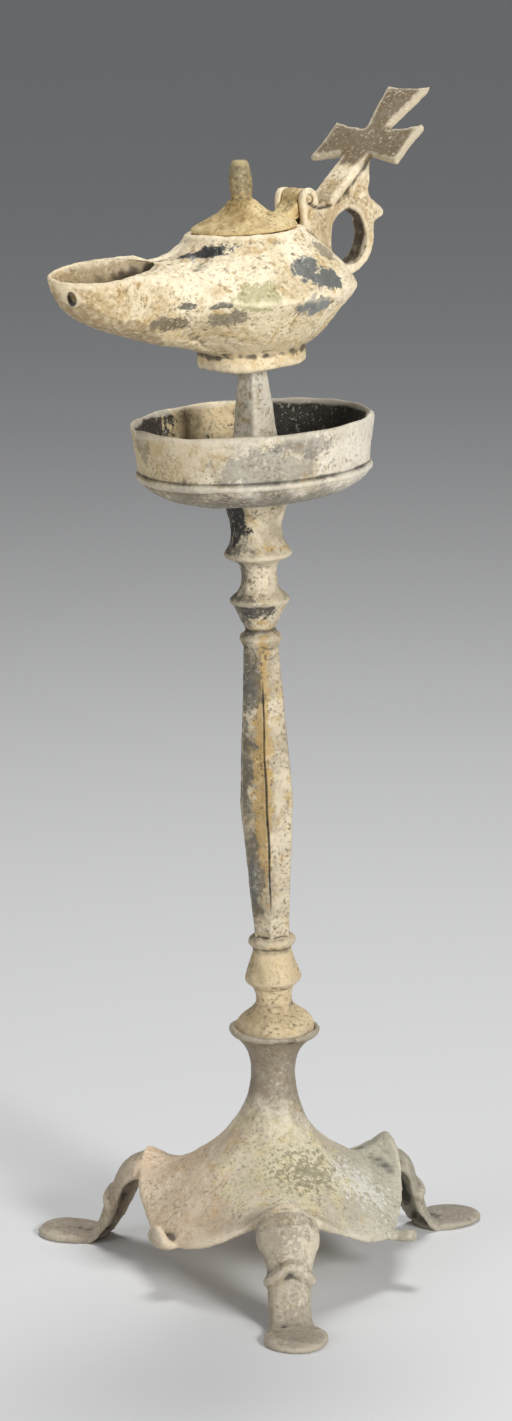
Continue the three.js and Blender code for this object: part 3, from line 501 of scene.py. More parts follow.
def relaxed(shell, rounds, weight=1.0):
    """Softened skin: every point goes part of the way to the mean of its neighbours, several times."""
    points, faces = shell
    share = 0.5 * np.broadcast_to(weight, len(points))[:, None]
    for _ in range(rounds):
        points = mix(points, neighbour_mean(points, faces), share)
    return points, faces


def normals_of(points, faces):
    """Unit normal at each point: the sum of its faces' cross products."""
    corners = [points[faces[:, k]] for k in range(3)]
    facing = np.cross(corners[1] - corners[0], corners[2] - corners[0])
    sums = np.stack([
        sum(np.bincount(faces[:, k], weights=facing[:, axis], minlength=len(points)) for k in range(3))
        for axis in range(3)
    ], -1)
    return sums / np.maximum(np.linalg.norm(sums, axis=1, keepdims=True), 1e-9)


def lumps(points, size, seed):
    """Smooth random field of unit spread: a sum of sine waves in random directions, about size long."""
    random = np.random.default_rng(seed)
    directions = random.normal(size=(WAVES, 3))
    directions /= np.linalg.norm(directions, axis=1, keepdims=True)
    lengths = size * random.uniform(0.6, 1.5, WAVES)
    phases = random.uniform(0, 2 * np.pi, WAVES)
    waves = points @ (directions * (2 * np.pi / lengths)[:, None]).T
    return np.sin(waves + phases).sum(1) / np.sqrt(WAVES / 2)


def weathered(shell, seed, swell=0.25, grain=0.08, pits=0.3, weight=1.0):
    """Corroded skin: long swells, fine grain and scattered pits along the normals, by a weight."""
    points, faces = shell
    normals = normals_of(points, faces)
    rise = swell * lumps(points, 26, seed) + grain * lumps(points, 5, seed + 1)
    patchy = smoothstep(lumps(points, 22, seed + 2), -0.4, 1.2)
    holes = smoothstep(lumps(points, 3.4, seed + 3), 1.3, 2.2) * patchy
    return points + normals * (weight * (rise - pits * holes))[:, None], faces


def hollowness(points, faces):
    """How far each point lies below its neighbours, in millimetres: above 0 in hollows, below on edges."""
    mean = points
    for _ in range(6):
        mean = neighbour_mean(mean, faces)
    return np.einsum("ij,ij->i", mean - points, normals_of(points, faces))


def finished(name, shell, place, body, node, material, marks=None):
    """Piece in the shared frame with its hollowness and marks as attributes, standing for one solid."""
    points, faces = moved(shell, place)
    mesh = mesh_from(name, points, faces)
    mesh.shade_smooth()
    fields = {"hollow": hollowness(points, faces), **(marks or {})}
    for title, values in fields.items():
        field = mesh.attributes.new(title, "FLOAT", "POINT")
        field.data.foreach_set("value", np.asarray(values, np.float32))
    mesh.materials.append(material)
    thing = bpy.data.objects.new(name, mesh)
    bpy.context.scene.collection.objects.link(thing)
    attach(thing, body)
    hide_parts(node)
    return thing


# Tripod


def from_leg(angle):
    """Angle from the nearest leg, from -60 to 60 degrees."""
    turns = (angle - FRONT_LEG) / LEG_STEP
    return (turns - np.round(turns)) * LEG_STEP


def between_legs(angle):
    """Share of the way from a leg, 0, to the middle between two legs, 1: a raised cosine."""
    return (1 - np.cos(LEG_COUNT * from_leg(angle))) / 2


def nearest_leg(angle):
    """Index of the leg nearest to an angle."""
    return np.round((angle - FRONT_LEG) / LEG_STEP).astype(int) % LEG_COUNT


def near_leg(angle):
    """Bell curve that is 1 over each leg and fades to its sides."""
    return np.exp(-((from_leg(angle) / LIP_HALF_ANGLES[nearest_leg(angle)]) ** 2))


def edge_radius(angle):
    """Reach of the skirt's edge: blended between its reach at a leg and between legs."""
    share = between_legs(angle)
    reach = LIP_REACH[nearest_leg(angle)] * np.exp(-((from_leg(angle) / LIP_REACH_HALF_ANGLE) ** 2))
    return mix(EDGE_AT_LEG, EDGE_BETWEEN, share) - EDGE_PINCH * share * (1 - share) + reach


def edge_drop(angle):
    """Drop of the skirt's edge, deepest between the legs."""
    share = between_legs(angle)
    return mix(-EDGE_LIFT, EDGE_DROP, (share * share / (share + EDGE_DROP_EASE)) ** EDGE_DROP_POWER)


def skirt_height(angle, share):
    """Upper face of the skirt: a trumpet sagging by a power of the share and flicked up at each leg."""
    radius = mix(DRAPE_START, edge_radius(angle), share)
    flick = LIP_FLICK * near_leg(angle)
    sag = (edge_drop(angle) + flick) * share ** 1.4
    lift = flick + LIP_EXTRA[nearest_leg(angle)] * near_leg(angle)
    return TRUMPET_FLOOR + TRUMPET_GAIN / radius - sag + lift * share ** 5


def skirt_wall(angle, share):
    """Upright thickness of the skirt, greater where a lip flicks up steeply."""
    return SKIRT_WALL * (1 + LIP_THICKENING * near_leg(angle) * share ** 3)


def skirt_shell():
    """Neck, skirt and its underside as one closed grid of rings round the axis."""
    angle = FRONT_LEG + np.linspace(0, 2 * np.pi, 300, endpoint=False)
    neck = through(NECK_PROFILE, 90)
    bend = smoothstep(neck[:, 1], NECK_BEND_START, DISH_FLOOR)
    rings = [polar(neck[:, :1], angle[None, :], neck[:, 1:]) + (bend[:, None] * DISH_OFFSET)[:, None, :]]
    outside = np.linspace(0, 0.985, 60)[:, None]
    inside = np.linspace(0.96, 0.1, 40)[:, None]
    rings.append(polar(mix(DRAPE_START, edge_radius(angle), outside), angle, skirt_height(angle, outside)))
    for inset, depth in ((0.0, 0.2), (0.1, 0.5), (0.6, 0.9)):
        edge = edge_radius(angle) - inset
        rings.append(polar(edge, angle, skirt_height(angle, 1.0) - depth * skirt_wall(angle, 1.0))[None])
    under = mix(DRAPE_START, edge_radius(angle), inside) - 0.6
    rings.append(polar(under, angle, skirt_height(angle, inside) - 1.12 * skirt_wall(angle, inside)))
    rings.append(polar(HOLLOW_TOP[0], angle, HOLLOW_TOP[1])[None])
    return loft(np.concatenate(rings))


def leg_points(stations, turn, inset=0.0):
    """Points on a leg's outside: half-round sections square to the ridge, less an inset."""
    ridge = stations[:, :2]
    along = np.gradient(ridge, axis=0)
    along /= np.linalg.norm(along, axis=1, keepdims=True)
    flatness = smoothstep(stations[:, :1], 72, 78)
    bulge = np.minimum(1, np.sin(turn) ** 0.75 * (1 + 0.14 * flatness))
    out = mix(-stations[:, 3:4] - (0.2 if inset else 0), -inset, bulge)
    return np.stack(np.broadcast_arrays(
        ridge[:, :1] - along[:, 1:] * out,
        (stations[:, 2:3] - inset) * np.cos(turn),
        ridge[:, 1:] + along[:, :1] * out,
    ), -1)


def leg_shell(rise):
    """Leg as a C-shaped channel: outside points, then the same less a wall in the other order."""
    stations = through(LEG_STATIONS, 90)
    stations[:, 1] += rise * (1 - smoothstep(stations[:, 0], 57, 69))
    turn = np.linspace(0, np.pi, 36)[None, :]
    outside = leg_points(stations, turn)
    inside = leg_points(stations, turn[:, ::-1], LEG_WALL)
    sections = np.concatenate([outside, inside], axis=1)
    return together(loft(sections, hollow_ends=True), ankle_shell(stations))


def ankle_shell(stations):
    """Chevron band round the ankle: a round tube along a line on the shin that is highest at its middle."""
    turn = np.linspace(0.06, np.pi - 0.06, 40)
    steps = np.linalg.norm(np.diff(stations[:, :2], axis=0), axis=1)
    along = np.concatenate([[0], np.cumsum(steps)])
    peak = np.interp(ANKLE_RADIUS, stations[:, 0], along)
    place = np.interp(peak + ANKLE_CHEVRON * np.abs(np.cos(turn)), along, np.arange(len(along)))
    surface = leg_points(stations, turn[None, :])
    row = np.floor(place).astype(int)
    column = np.arange(len(turn))
    line = mix(surface[row, column], surface[row + 1, column], (place - row)[:, None])
    return tube(line, ANKLE_BAND)


def tube(line, radius):
    """Round tube along a line: circles square to its direction."""
    along = np.gradient(line, axis=0)
    along /= np.linalg.norm(along, axis=1, keepdims=True)
    side = np.cross(along, (0.31, 0.17, 0.93))
    side /= np.linalg.norm(side, axis=1, keepdims=True)
    over = np.cross(along, side)
    turn = np.linspace(0, 2 * np.pi, 20, endpoint=False)[None, :, None]
    return loft(line[:, None] + radius * (np.cos(turn) * side[:, None] + np.sin(turn) * over[:, None]))


def pad_shell():
    """Oval foot pad: a rounded disc stretched along the leg."""
    profile = [
        (0.02, 0), (0.6, 0), (0.93, 0.02), (1.0, 0.3), (0.98, 0.65), (0.88, 0.92), (0.5, 1.0), (0.02, 1.0),
    ]
    points, faces = turned(profile, 60, 90)
    return points * PAD_SIZE + (PAD_RADIUS, 0, 0), faces


def tongue_shell(index):
    """Corner tongue: oval sections along a curve in radius and height, facing outwards between two legs."""
    curve = through(CURLED_TONGUE if index == LEG_COUNT - 1 else FLAT_TONGUE, 40)
    along = np.gradient(curve[:, :2], axis=0)
    along /= np.linalg.norm(along, axis=1, keepdims=True)
    turn = np.linspace(0, 2 * np.pi, 32, endpoint=False)
    lift = curve[:, 3:] * np.sin(turn)
    x = curve[:, :1] - along[:, 1:] * lift
    z = curve[:, 1:2] + along[:, :1] * lift
    rings = np.stack([x, curve[:, 2:3] * np.cos(turn), z], -1)
    return moved(loft(rings), turned_about((0, 0, 1), FRONT_LEG + (index + 0.5) * LEG_STEP))


def tripod_shell():
    """Skirt, legs, pads and tongues fused, relaxed at the ankles and weathered, flat on the floor."""
    shells = [skirt_shell()]
    for index in range(LEG_COUNT):
        leg = together(leg_shell(LEG_RISES[index]), pad_shell())
        shells.append(moved(leg, turned_about((0, 0, 1), FRONT_LEG + index * LEG_STEP)))
        shells.append(tongue_shell(index))
    whole = relaxed(fused(together(*shells), BASE_VOXEL), 3)
    points = whole[0]
    height = points[:, 2]
    out = np.hypot(points[:, 0], points[:, 1])
    rising = smoothstep(height, *PAD_EASE_BOTTOM)
    ankles = rising * (1 - smoothstep(height, *PAD_EASE_TOP)) * (out > PAD_EASE_RADIUS)
    points, faces = weathered(relaxed(whole, 16, ankles), 11, swell=0.3, grain=0.06, pits=0.2)
    points[:, 2] = np.maximum(points[:, 2], 0)
    return (points, faces), {"leg": smoothstep(np.hypot(points[:, 0], points[:, 1]), 57, 64)}


# Shaft and pan


def facet_radius(angle, height):
    """Six-sided section with eased corners: the even power mean of the distances along its face normals."""
    half_width = np.interp(height, FACET_STATIONS[:, 1], FACET_STATIONS[:, 0])
    normals = FACET_TURN + (np.arange(FACET_SIDES) + 0.5) * 2 * np.pi / FACET_SIDES
    reach = np.maximum(np.cos(angle[..., None] - normals), 0) ** FACET_ROUNDING
    section = reach.sum(-1) ** (-1 / FACET_ROUNDING)
    inside = (height > FACET_STATIONS[0, 1]) & (height < FACET_STATIONS[-1, 1])
    return np.where(inside, half_width * section, 0)


def crack_depth(angle, height):
    """Crack along the front corner of the shaft: a narrow wandering groove between two heights."""
    wander = 0.02 * np.sin(height / 13.0) + 0.012 * np.sin(height / 4.1)
    away = (angle - FACET_TURN - wander) / 0.045
    reach = smoothstep(height, 150, 168) * (1 - smoothstep(height, 246, 262))
    return np.exp(-away * away) * reach


def shaft_shell():
    """Turned foot and head, faceted between: the larger of the two radii at each angle and height."""
    curve = through(SHAFT_PROFILE, 460)
    curve[:, 1] = np.maximum.accumulate(curve[:, 1])
    turn = np.linspace(-np.pi, np.pi, 160, endpoint=False)
    angle = FACET_TURN + turn - 0.6 * np.sin(turn)
    height = curve[:, 1:] + 0 * angle
    around = angle + 0 * height
    radius = np.maximum(curve[:, :1] + 0 * angle, facet_radius(around, height))
    groove_and_slot_shade = crack_depth(around, height)
    radius = radius - 0.7 * groove_and_slot_shade
    points, faces = loft(polar(radius, around, height - SHAFT_SEAT))
    # The crack's groove is also marked for painted shade.
    return weathered((points, faces), 23, swell=0.1, grain=0.07, pits=0.2), np.append(groove_and_slot_shade.ravel(), [0, 0])


def square_rings(stations, margin=0.0, corner=PRICKET_CORNER, count=64):
    """Square sections with eased corners: a superellipse of each station's half side plus a margin."""
    angle = np.linspace(0, 2 * np.pi, count, endpoint=False)
    power = 2 / corner
    shape = (np.abs(np.cos(angle)) ** power + np.abs(np.sin(angle)) ** power) ** (-1 / power)
    half = stations[:, :1] / 2 + margin
    return polar(half * shape, angle, stations[:, 1:] + 0 * angle)


def pan_shell():
    """Turned pan and the square pricket that stands in it."""
    spike = through(PRICKET_STATIONS, 70)
    pricket = moved(loft(square_rings(spike)), turned_about((0, 0, 1), LAMP_ANGLE))
    pricket = moved(pricket, placed_at(PRICKET_OFFSET) @ leaning(PRICKET_LEAN))
    bowl = turned(PAN_PROFILE, 190, 200)
    curve = through(PAN_PROFILE, 190)
    past_rim = np.arange(len(curve)) > curve[:, 1].argmax()
    inside = np.concatenate([np.repeat(past_rim, 200), [False, True], np.zeros(len(pricket[0]))])
    shell = together(
        weathered(bowl, 31, swell=0.2, grain=0.03, pits=0.12),
        weathered(pricket, 37, swell=0.1, grain=0.06, pits=0.15),
    )
    # The groove below the rim is marked for painted shade.
    groove = np.exp(-(((curve[:, 1] - PAN_GROOVE) / 0.45) ** 2)) * ~past_rim
    groove = np.concatenate([np.repeat(groove, 200), np.zeros(2 + len(pricket[0]))])
    return shell, {"inside": inside, "groove_and_slot_shade": 0.75 * groove}


# Lamp


def nozzle_share(x):
    """0 on the round body, rising to 1 along the nozzle."""
    return smoothstep(x, NOZZLE_START, NOZZLE_FULL)


def keel_plan(inset):
    """Plan of the keel: an arc behind, a Bezier flank on each side and half an ellipse at the tip."""
    radius = KEEL_RADIUS - inset
    half_width = NOZZLE_HALF_WIDTH - inset
    end_start = NOZZLE_TIP - NOZZLE_END
    turn = np.linspace(np.pi, np.arccos(NOZZLE_ROOT / radius), 60, endpoint=False)
    arc = np.stack([radius * np.cos(turn), radius * np.sin(turn)], -1)
    flank = bezier([
        (NOZZLE_ROOT, np.sqrt(radius ** 2 - NOZZLE_ROOT ** 2)),
        (NOZZLE_SIDE_REACHES[0], half_width + NOZZLE_SIDE_WIDENINGS[0]),
        (NOZZLE_SIDE_REACHES[1], half_width + NOZZLE_SIDE_WIDENINGS[1]),
        (end_start, half_width),
    ], np.linspace(0, 1, 50, endpoint=False))
    turn = np.linspace(np.pi / 2, 0, 30)
    end = np.stack([end_start + (NOZZLE_END - inset) * np.cos(turn), half_width * np.sin(turn)], -1)
    half = np.concatenate([arc, flank, end])
    plan = np.concatenate([half, half[-2:0:-1] * (1, -1)])
    plan[:, 1] += NOZZLE_SHIFT * nozzle_share(plan[:, 0])
    return plan


def rim_height(y):
    """Height of the nozzle's rim, rolled to one side."""
    return NOZZLE_RIM - NOZZLE_ROLL * np.clip(y, -NOZZLE_HALF_WIDTH, NOZZLE_HALF_WIDTH)


def body_shell(inset):
    """Lamp body: rays from the base out to the keel and back to the collar, each with its own power curve."""
    plan = keel_plan(inset)
    nozzle = nozzle_share(plan[:, 0])
    keel = mix(KEEL_HEIGHT, rim_height(plan[:, 1]) - 0.8 * inset, nozzle)
    reach = np.linalg.norm(plan, axis=1)
    ray = plan / reach[:, None]
    share = 1 - np.linspace(1, 0, 60)[:, None] ** 1.6
    rise = mix(share ** BELLY_BULGE, mix(share ** NOZZLE_UPTURN, share, NOZZLE_SLOPE), nozzle)
    belly_radius = mix(BODY_BASE[0] - inset, reach, share)
    belly = np.stack(np.broadcast_arrays(
        ray[:, 0] * belly_radius, ray[:, 1] * belly_radius, mix(BODY_BASE[1] + inset, keel, rise),
    ), -1)
    share = np.linspace(0.02, 1, 60)[:, None]
    radius = mix(reach, COLLAR_RADIUS - inset, share)
    rise = share ** mix(SHOULDER_BULGE, DECK_BULGE, nozzle)
    away = (radius - DECK_DIP_RADIUS) / DECK_DIP_HALF_WIDTH
    dip = DECK_DIP * nozzle * np.maximum(0, 1 - away * away)
    fullness = FLANK_FULLNESS * 4 * nozzle * (1 - nozzle) * np.sin(np.pi * share)
    height = mix(keel, SHOULDER_HEIGHT - 0.8 * inset, rise) - dip + fullness
    shoulder = np.stack(np.broadcast_arrays(ray[:, 0] * radius, ray[:, 1] * radius, height), -1)
    rings = np.concatenate([belly, shoulder])
    easing = (0.1 + 3.6 * nozzle * (1 - nozzle))[None, :, None].clip(0, 1)
    for _ in range(KEEL_EASING):
        between = (rings[:-2] + rings[2:]) / 2
        rings[1:-1] = mix(rings[1:-1], between, 0.5 * easing)
    return loft(rings)


def drum(radius, bottom, top):
    """Plain upright drum."""
    angle = np.linspace(0, 2 * np.pi, 120, endpoint=False)
    levels = np.array([[bottom], [top]], float)
    return loft(polar(radius, angle[None, :], levels))


def almond(depth, spread):
    """Almond outline at a depth under the nozzle's rim, closing in with depth and widened by a spread."""
    tip = NOZZLE_TIP - NOZZLE_RIM_WIDTH - WELL_TIP_SLOPE * depth + spread
    root = OPENING_ROOT + WELL_ROOT_SLOPE * depth - spread
    half = OPENING_HALF_WIDTH - WELL_SIDE_SLOPE * depth + spread
    widest = tip - OPENING_END
    shares = np.linspace(0, 1, 30, endpoint=False)
    back = bezier([(root, 0), (root + 6, 0.65 * half), (widest - 18, half), (widest, half)], shares)
    front = bezier([(widest, half), (widest + 9, half), (tip, 0.6 * half), (tip, 0)], shares)
    side = np.concatenate([back, front])
    outline = np.concatenate([side, [[tip, 0]], side[:0:-1] * (1, -1)])
    height = NOZZLE_RIM - depth - NOZZLE_ROLL * outline[:, 1]
    return np.column_stack([outline[:, 0], outline[:, 1] + NOZZLE_SHIFT, height])


def well_shells():
    """Liner of the nozzle's wick well and the well inside it: almonds carried down from the rim."""
    liner = np.stack([almond(depth, WELL_WALL) for depth in np.linspace(2.0, WELL_DEPTH, 8)])
    well = np.stack([almond(depth, 0) for depth in np.linspace(-0.5, WELL_DEPTH + 1, 10)])
    above = well[:1] + (0, 0, OPENING_CUT)
    return loft(liner), loft(np.concatenate([above, well]))


def wick_hole_shell():
    """Slot through the nozzle's front wall: an upright oval carried along a level path."""
    turn = np.linspace(0, 2 * np.pi, 24, endpoint=False)
    along = np.array([-0.5, 0.5])[:, None] * WICK_HOLE_LENGTH
    rings = np.stack(np.broadcast_arrays(
        along, WICK_HOLE_RADII[0] * np.cos(turn), WICK_HOLE_RADII[1] * np.sin(turn),
    ), -1)
    return moved(loft(rings), placed_at(WICK_HOLE) @ turned_about((0, 0, 1), WICK_HOLE_ANGLE))


def in_wick_hole(points):
    """Mark for painted shade: 1 inside the slot's oval and on what lies behind it, fading to 0 round its
    edge.
    """
    turn = turned_about((0, 0, 1), -WICK_HOLE_ANGLE)[:3, :3]
    from_hole = (points - WICK_HOLE) @ turn.T
    ring = np.hypot(from_hole[:, 1] / WICK_HOLE_RADII[0], from_hole[:, 2] / WICK_HOLE_RADII[1])
    return (1 - smoothstep(ring, 1.15, 1.7)) * (np.abs(from_hole[:, 0]) < WICK_HOLE_LENGTH / 2 + 1)


def socket_shells():
    """Square sleeve over the pricket and the tapered hole inside it."""
    below, tip = PRICKET_STATIONS[-3] - (0, LAMP_SEAT), PRICKET_STATIONS[-2] - (0, LAMP_SEAT)
    sleeve = np.array([(below[0], SLEEVE_FOOT), (tip[0], SOCKET_DEPTH)])
    hole = np.array([below, (tip[0], tip[1] + SOCKET_GAP + 0.6)])
    return (
        loft(square_rings(sleeve, SOCKET_GAP + SOCKET_WALL)),
        loft(square_rings(hole, SOCKET_GAP)),
    )


def on_cross_stem(reach):
    """Point along the stem of the cross."""
    return CROSS_FOOT + reach * np.array([-np.cos(CROSS_PITCH), np.sin(CROSS_PITCH)])


def handle_shell():
    """Ring handle, thumb spur and web: a plate outlined by Bezier stretches, with an oval hole."""
    web_top = on_cross_stem(WEB_REACH)
    shares = np.linspace(0, 1, 24, endpoint=False)
    stretches = [
        (HANDLE_ROOT, HANDLE_CREST),
        (HANDLE_CREST, CROSS_FOOT),
        (CROSS_FOOT, web_top),
        (web_top, (web_top[0], WEB_WAIST[1] + 6), WEB_WAIST),
        (WEB_WAIST, (WEB_WAIST[0] - 1, SPUR_TOP[1] + 2), SPUR_TOP),
        (SPUR_TOP, SPUR_TIP, SPUR_UNDERSIDE),
        (SPUR_UNDERSIDE, (SPUR_UNDERSIDE[0] + 2.5, RING_BACK[1] + 0.8), RING_BACK),
        (RING_BACK, (RING_BACK[0], 44), RING_LOW_BACK, RING_BOTTOM),
        (RING_BOTTOM, (-52, 28.5), RING_FOOT),
        (RING_FOOT, HANDLE_HEEL),
        (HANDLE_HEEL, HANDLE_ROOT),
    ]
    outline = np.concatenate([bezier(stretch, shares) for stretch in stretches])
    turn = np.linspace(0, 2 * np.pi, 64, endpoint=False)
    hole = np.stack([
        RING_CENTRE[0] + RING_HOLE[0] * np.cos(turn),
        RING_CENTRE[1] + RING_HOLE[1] * np.sin(turn),
    ], -1)
    return plate([outline, hole], HANDLE_WIDTH, 1.2)


def cross_shell():
    """Flat cross with flaring arms and hollowed ends, leaning back over the handle."""
    shares = np.linspace(0, 1, 20, endpoint=False)
    low, high = CROSS_MIDDLE - CROSS_ARM_NECK, CROSS_MIDDLE + CROSS_ARM_NECK
    arm_low, arm_high = CROSS_MIDDLE - CROSS_ARM_HALF, CROSS_MIDDLE + CROSS_ARM_HALF
    dip = CROSS_HALF_SPAN - CROSS_END_DIP
    bend = CROSS_STEM_HALF + CROSS_ARM_BEND
    side = [
        ((CROSS_STEM_HALF, 0), (CROSS_STEM_HALF, low)),
        ((CROSS_STEM_HALF, low), (CROSS_HALF_SPAN, arm_low)),
        ((CROSS_HALF_SPAN, arm_low), (dip, CROSS_MIDDLE), (CROSS_HALF_SPAN, arm_high)),
        ((CROSS_HALF_SPAN, arm_high), (bend, high), (CROSS_TOP_NECK, high)),
        ((CROSS_TOP_NECK, high), (CROSS_TOP_HALF, CROSS_LENGTH)),
        (
            (CROSS_TOP_HALF, CROSS_LENGTH),
            (CROSS_TOP_HALF / 2, CROSS_LENGTH - CROSS_END_DIP),
            (0, CROSS_LENGTH - 2),
        ),
    ]
    right = np.concatenate([bezier(stretch, shares) for stretch in side])
    outline = np.concatenate([right, right[::-1] * (-1, 1)])
    flat = plate([outline], CROSS_THICKNESS, 0.7)
    along = np.array([-np.cos(CROSS_PITCH), 0, np.sin(CROSS_PITCH)])
    across = np.array([0.0, 1.0, 0.0])
    place = np.eye(4)
    place[:3, 0] = across
    place[:3, 1] = np.cross(along, across)
    place[:3, 2] = along
    place[:3, 3] = (CROSS_FOOT[0], 0, CROSS_FOOT[1])
    return outward(*moved(flat, place))


def hinge_circle(radius, turn):
    """Points in x and z at the angles of turn, on a circle round the hinge's axis."""
    return np.array(HINGE_AXIS) + radius * np.stack([np.cos(turn), np.sin(turn)], -1)


def lug_shell(side):
    """Round-headed hinge lug with its bore."""
    turn = np.linspace(0, np.pi, 40)
    head = hinge_circle(LUG_RADIUS, turn)
    foot = np.array([(HINGE_AXIS[0] - LUG_RADIUS, LUG_FOOT), (HINGE_AXIS[0] + LUG_RADIUS, LUG_FOOT)])
    turn = np.linspace(0, 2 * np.pi, 32, endpoint=False)
    bore = hinge_circle(BORE_RADIUS, turn)
    lug = plate([np.concatenate([head, foot]), bore], LUG_THICKNESS, 0.5)
    return moved(lug, placed_at((0, side * LUG_SPACING / 2, 0)))


def gusset_shell():
    """Root that carries the lugs into the handle: eased oblong sections that narrow backwards."""
    stations = through(GUSSET_STATIONS, 24)
    turn = np.linspace(0, 2 * np.pi, 48, endpoint=False)
    across = np.sign(np.cos(turn)) * np.abs(np.cos(turn)) ** 0.4
    upward = np.sign(np.sin(turn)) * np.abs(np.sin(turn)) ** 0.4
    middle = stations[:, 2:].mean(1, keepdims=True)
    half = np.diff(stations[:, 2:], axis=1) / 2
    rings = np.stack(np.broadcast_arrays(
        stations[:, :1], stations[:, 1:2] * across, middle + half * upward,
    ), -1)
    return loft(rings)


def near_path(points, path):
    """Distance of each point from a run of straight stretches."""
    nearest = np.full(len(points), np.inf)
    for start, end in zip(path, path[1:]):
        start, stretch = np.asarray(start), np.subtract(end, start)
        share = np.clip((points - start) @ stretch / (stretch @ stretch), 0, 1)
        nearest = np.minimum(nearest, np.linalg.norm(points - start - share[:, None] * stretch, axis=1))
    return nearest


def lamp_shell():
    """Hollow lamp: body less its inside, mouth, wick well and slot, with foot, handle, cross and lugs."""
    sleeve, socket = socket_shells()
    liner, well = well_shells()
    collar = drum(COLLAR_RADIUS, SHOULDER_HEIGHT - LAMP_WALL, COLLAR_TOP)
    mouth = drum(FILL_HOLE_RADIUS, SHOULDER_HEIGHT - 8, COLLAR_TOP + 1)
    outside = fused(together(
        body_shell(0), turned(FOOT_PROFILE, 90, 120), collar, gusset_shell(), handle_shell(), cross_shell(),
        lug_shell(-1), lug_shell(1),
    ), LAMP_VOXEL)
    hollow = cut(outside, body_shell(LAMP_WALL), mouth)
    whole = cut(fused(together(hollow, sleeve, liner), LAMP_VOXEL), well, socket, wick_hole_shell())
    points, faces = relaxed(whole, 2)
    above = (points[:, [0, 2]] - CROSS_FOOT) @ (np.sin(CROSS_PITCH), np.cos(CROSS_PITCH))
    on_cross = (np.abs(above) < CROSS_THICKNESS / 2 + 0.7) & (points[:, 0] < CROSS_FOOT[0] + 1)
    evenness = 1 - 0.6 * on_cross
    points, faces = weathered((points, faces), 41, swell=0.3, grain=0.09, pits=0.35, weight=evenness)
    seam = np.exp(-((near_path(points[:, [0, 2]], SCROLL_SEAM) / 0.6) ** 2)) * (np.abs(points[:, 1]) > 3)
    points = points - 0.5 * seam[:, None] * normals_of(points, faces)
    reach = (points[:, [0, 2]] - CROSS_FOOT) @ (-np.cos(CROSS_PITCH), np.sin(CROSS_PITCH))
    from_ring = (points[:, [0, 2]] - RING_CENTRE) / RING_HOLE
    from_well = (points[:, :2] - (WELL_MIDDLE, NOZZLE_SHIFT)) / WELL_HALVES
    # Marks for the finish: painted shade in the scroll seam, in the wick slot and what lies behind it, and
    # inside the ring hole; the cross's brown and the well's tone.
    return (points, faces), {
        "groove_and_slot_shade": np.maximum(seam, in_wick_hole(points)),
        "cross": on_cross * smoothstep(reach, 14, 30),
        "ring": 1 - smoothstep(np.hypot(*from_ring.T), 1.02, 1.12),
        "well": 1 - smoothstep(np.hypot(*from_well.T), 0.96, 1.06),
    }


def lid_shell():
    """Lid with its bud finial, and the tongue behind that rises to the hinge knuckle."""
    shares = np.linspace(0, 1, 24, endpoint=False)
    hinge_x = HINGE_AXIS[0]
    turn = np.linspace(0, np.pi, 30)
    knuckle = hinge_circle(KNUCKLE_RADIUS, turn)
    outline = np.concatenate([
        bezier([(TONGUE_ROOT, TONGUE_UNDERSIDE + 1.6), (TONGUE_ROOT, TONGUE_TOP)], shares),
        bezier([(TONGUE_ROOT, TONGUE_TOP), (TONGUE_BEND, TONGUE_TOP - 0.8), knuckle[0]], shares),
        knuckle[:-1],
        bezier(
            [knuckle[-1], (hinge_x - 2.7, TONGUE_UNDERSIDE + 1.4), (TONGUE_BEND, TONGUE_UNDERSIDE)],
            shares,
        ),
    ])
    turn = np.linspace(0, 2 * np.pi, 32, endpoint=False)
    bore = hinge_circle(BORE_RADIUS, turn)
    tongue = plate([outline, bore], KNUCKLE_WIDTH, 0.5)
    whole = fused(together(turned(LID_PROFILE, 140, 140), tongue), LID_VOXEL)
    return weathered(relaxed(whole, 2), 53, swell=0.12, grain=0.06, pits=0.2)


def pin_shell():
    """Hinge pin: a plain rod with eased ends, along y."""
    half = PIN_LENGTH / 2
    profile = [
        (0.05, -half), (1.0, -half), (PIN_RADIUS, 0.4 - half),
        (PIN_RADIUS, half - 0.4), (1.0, half), (0.05, half),
    ]
    rod = moved(turned(profile, 60, 24), turned_about((1, 0, 0), np.pi / 2))
    return moved(rod, placed_at((HINGE_AXIS[0], 0, HINGE_AXIS[1])))


# Finishes


def linear(red, green, blue):
    """Colour on a 0 to 255 display scale as a linear colour."""
    value = np.array([red, green, blue]) / 255
    low = value / 12.92
    high = ((value + 0.055) / 1.055) ** 2.4
    return (*np.where(value <= 0.04045, low, high).tolist(), 1.0)


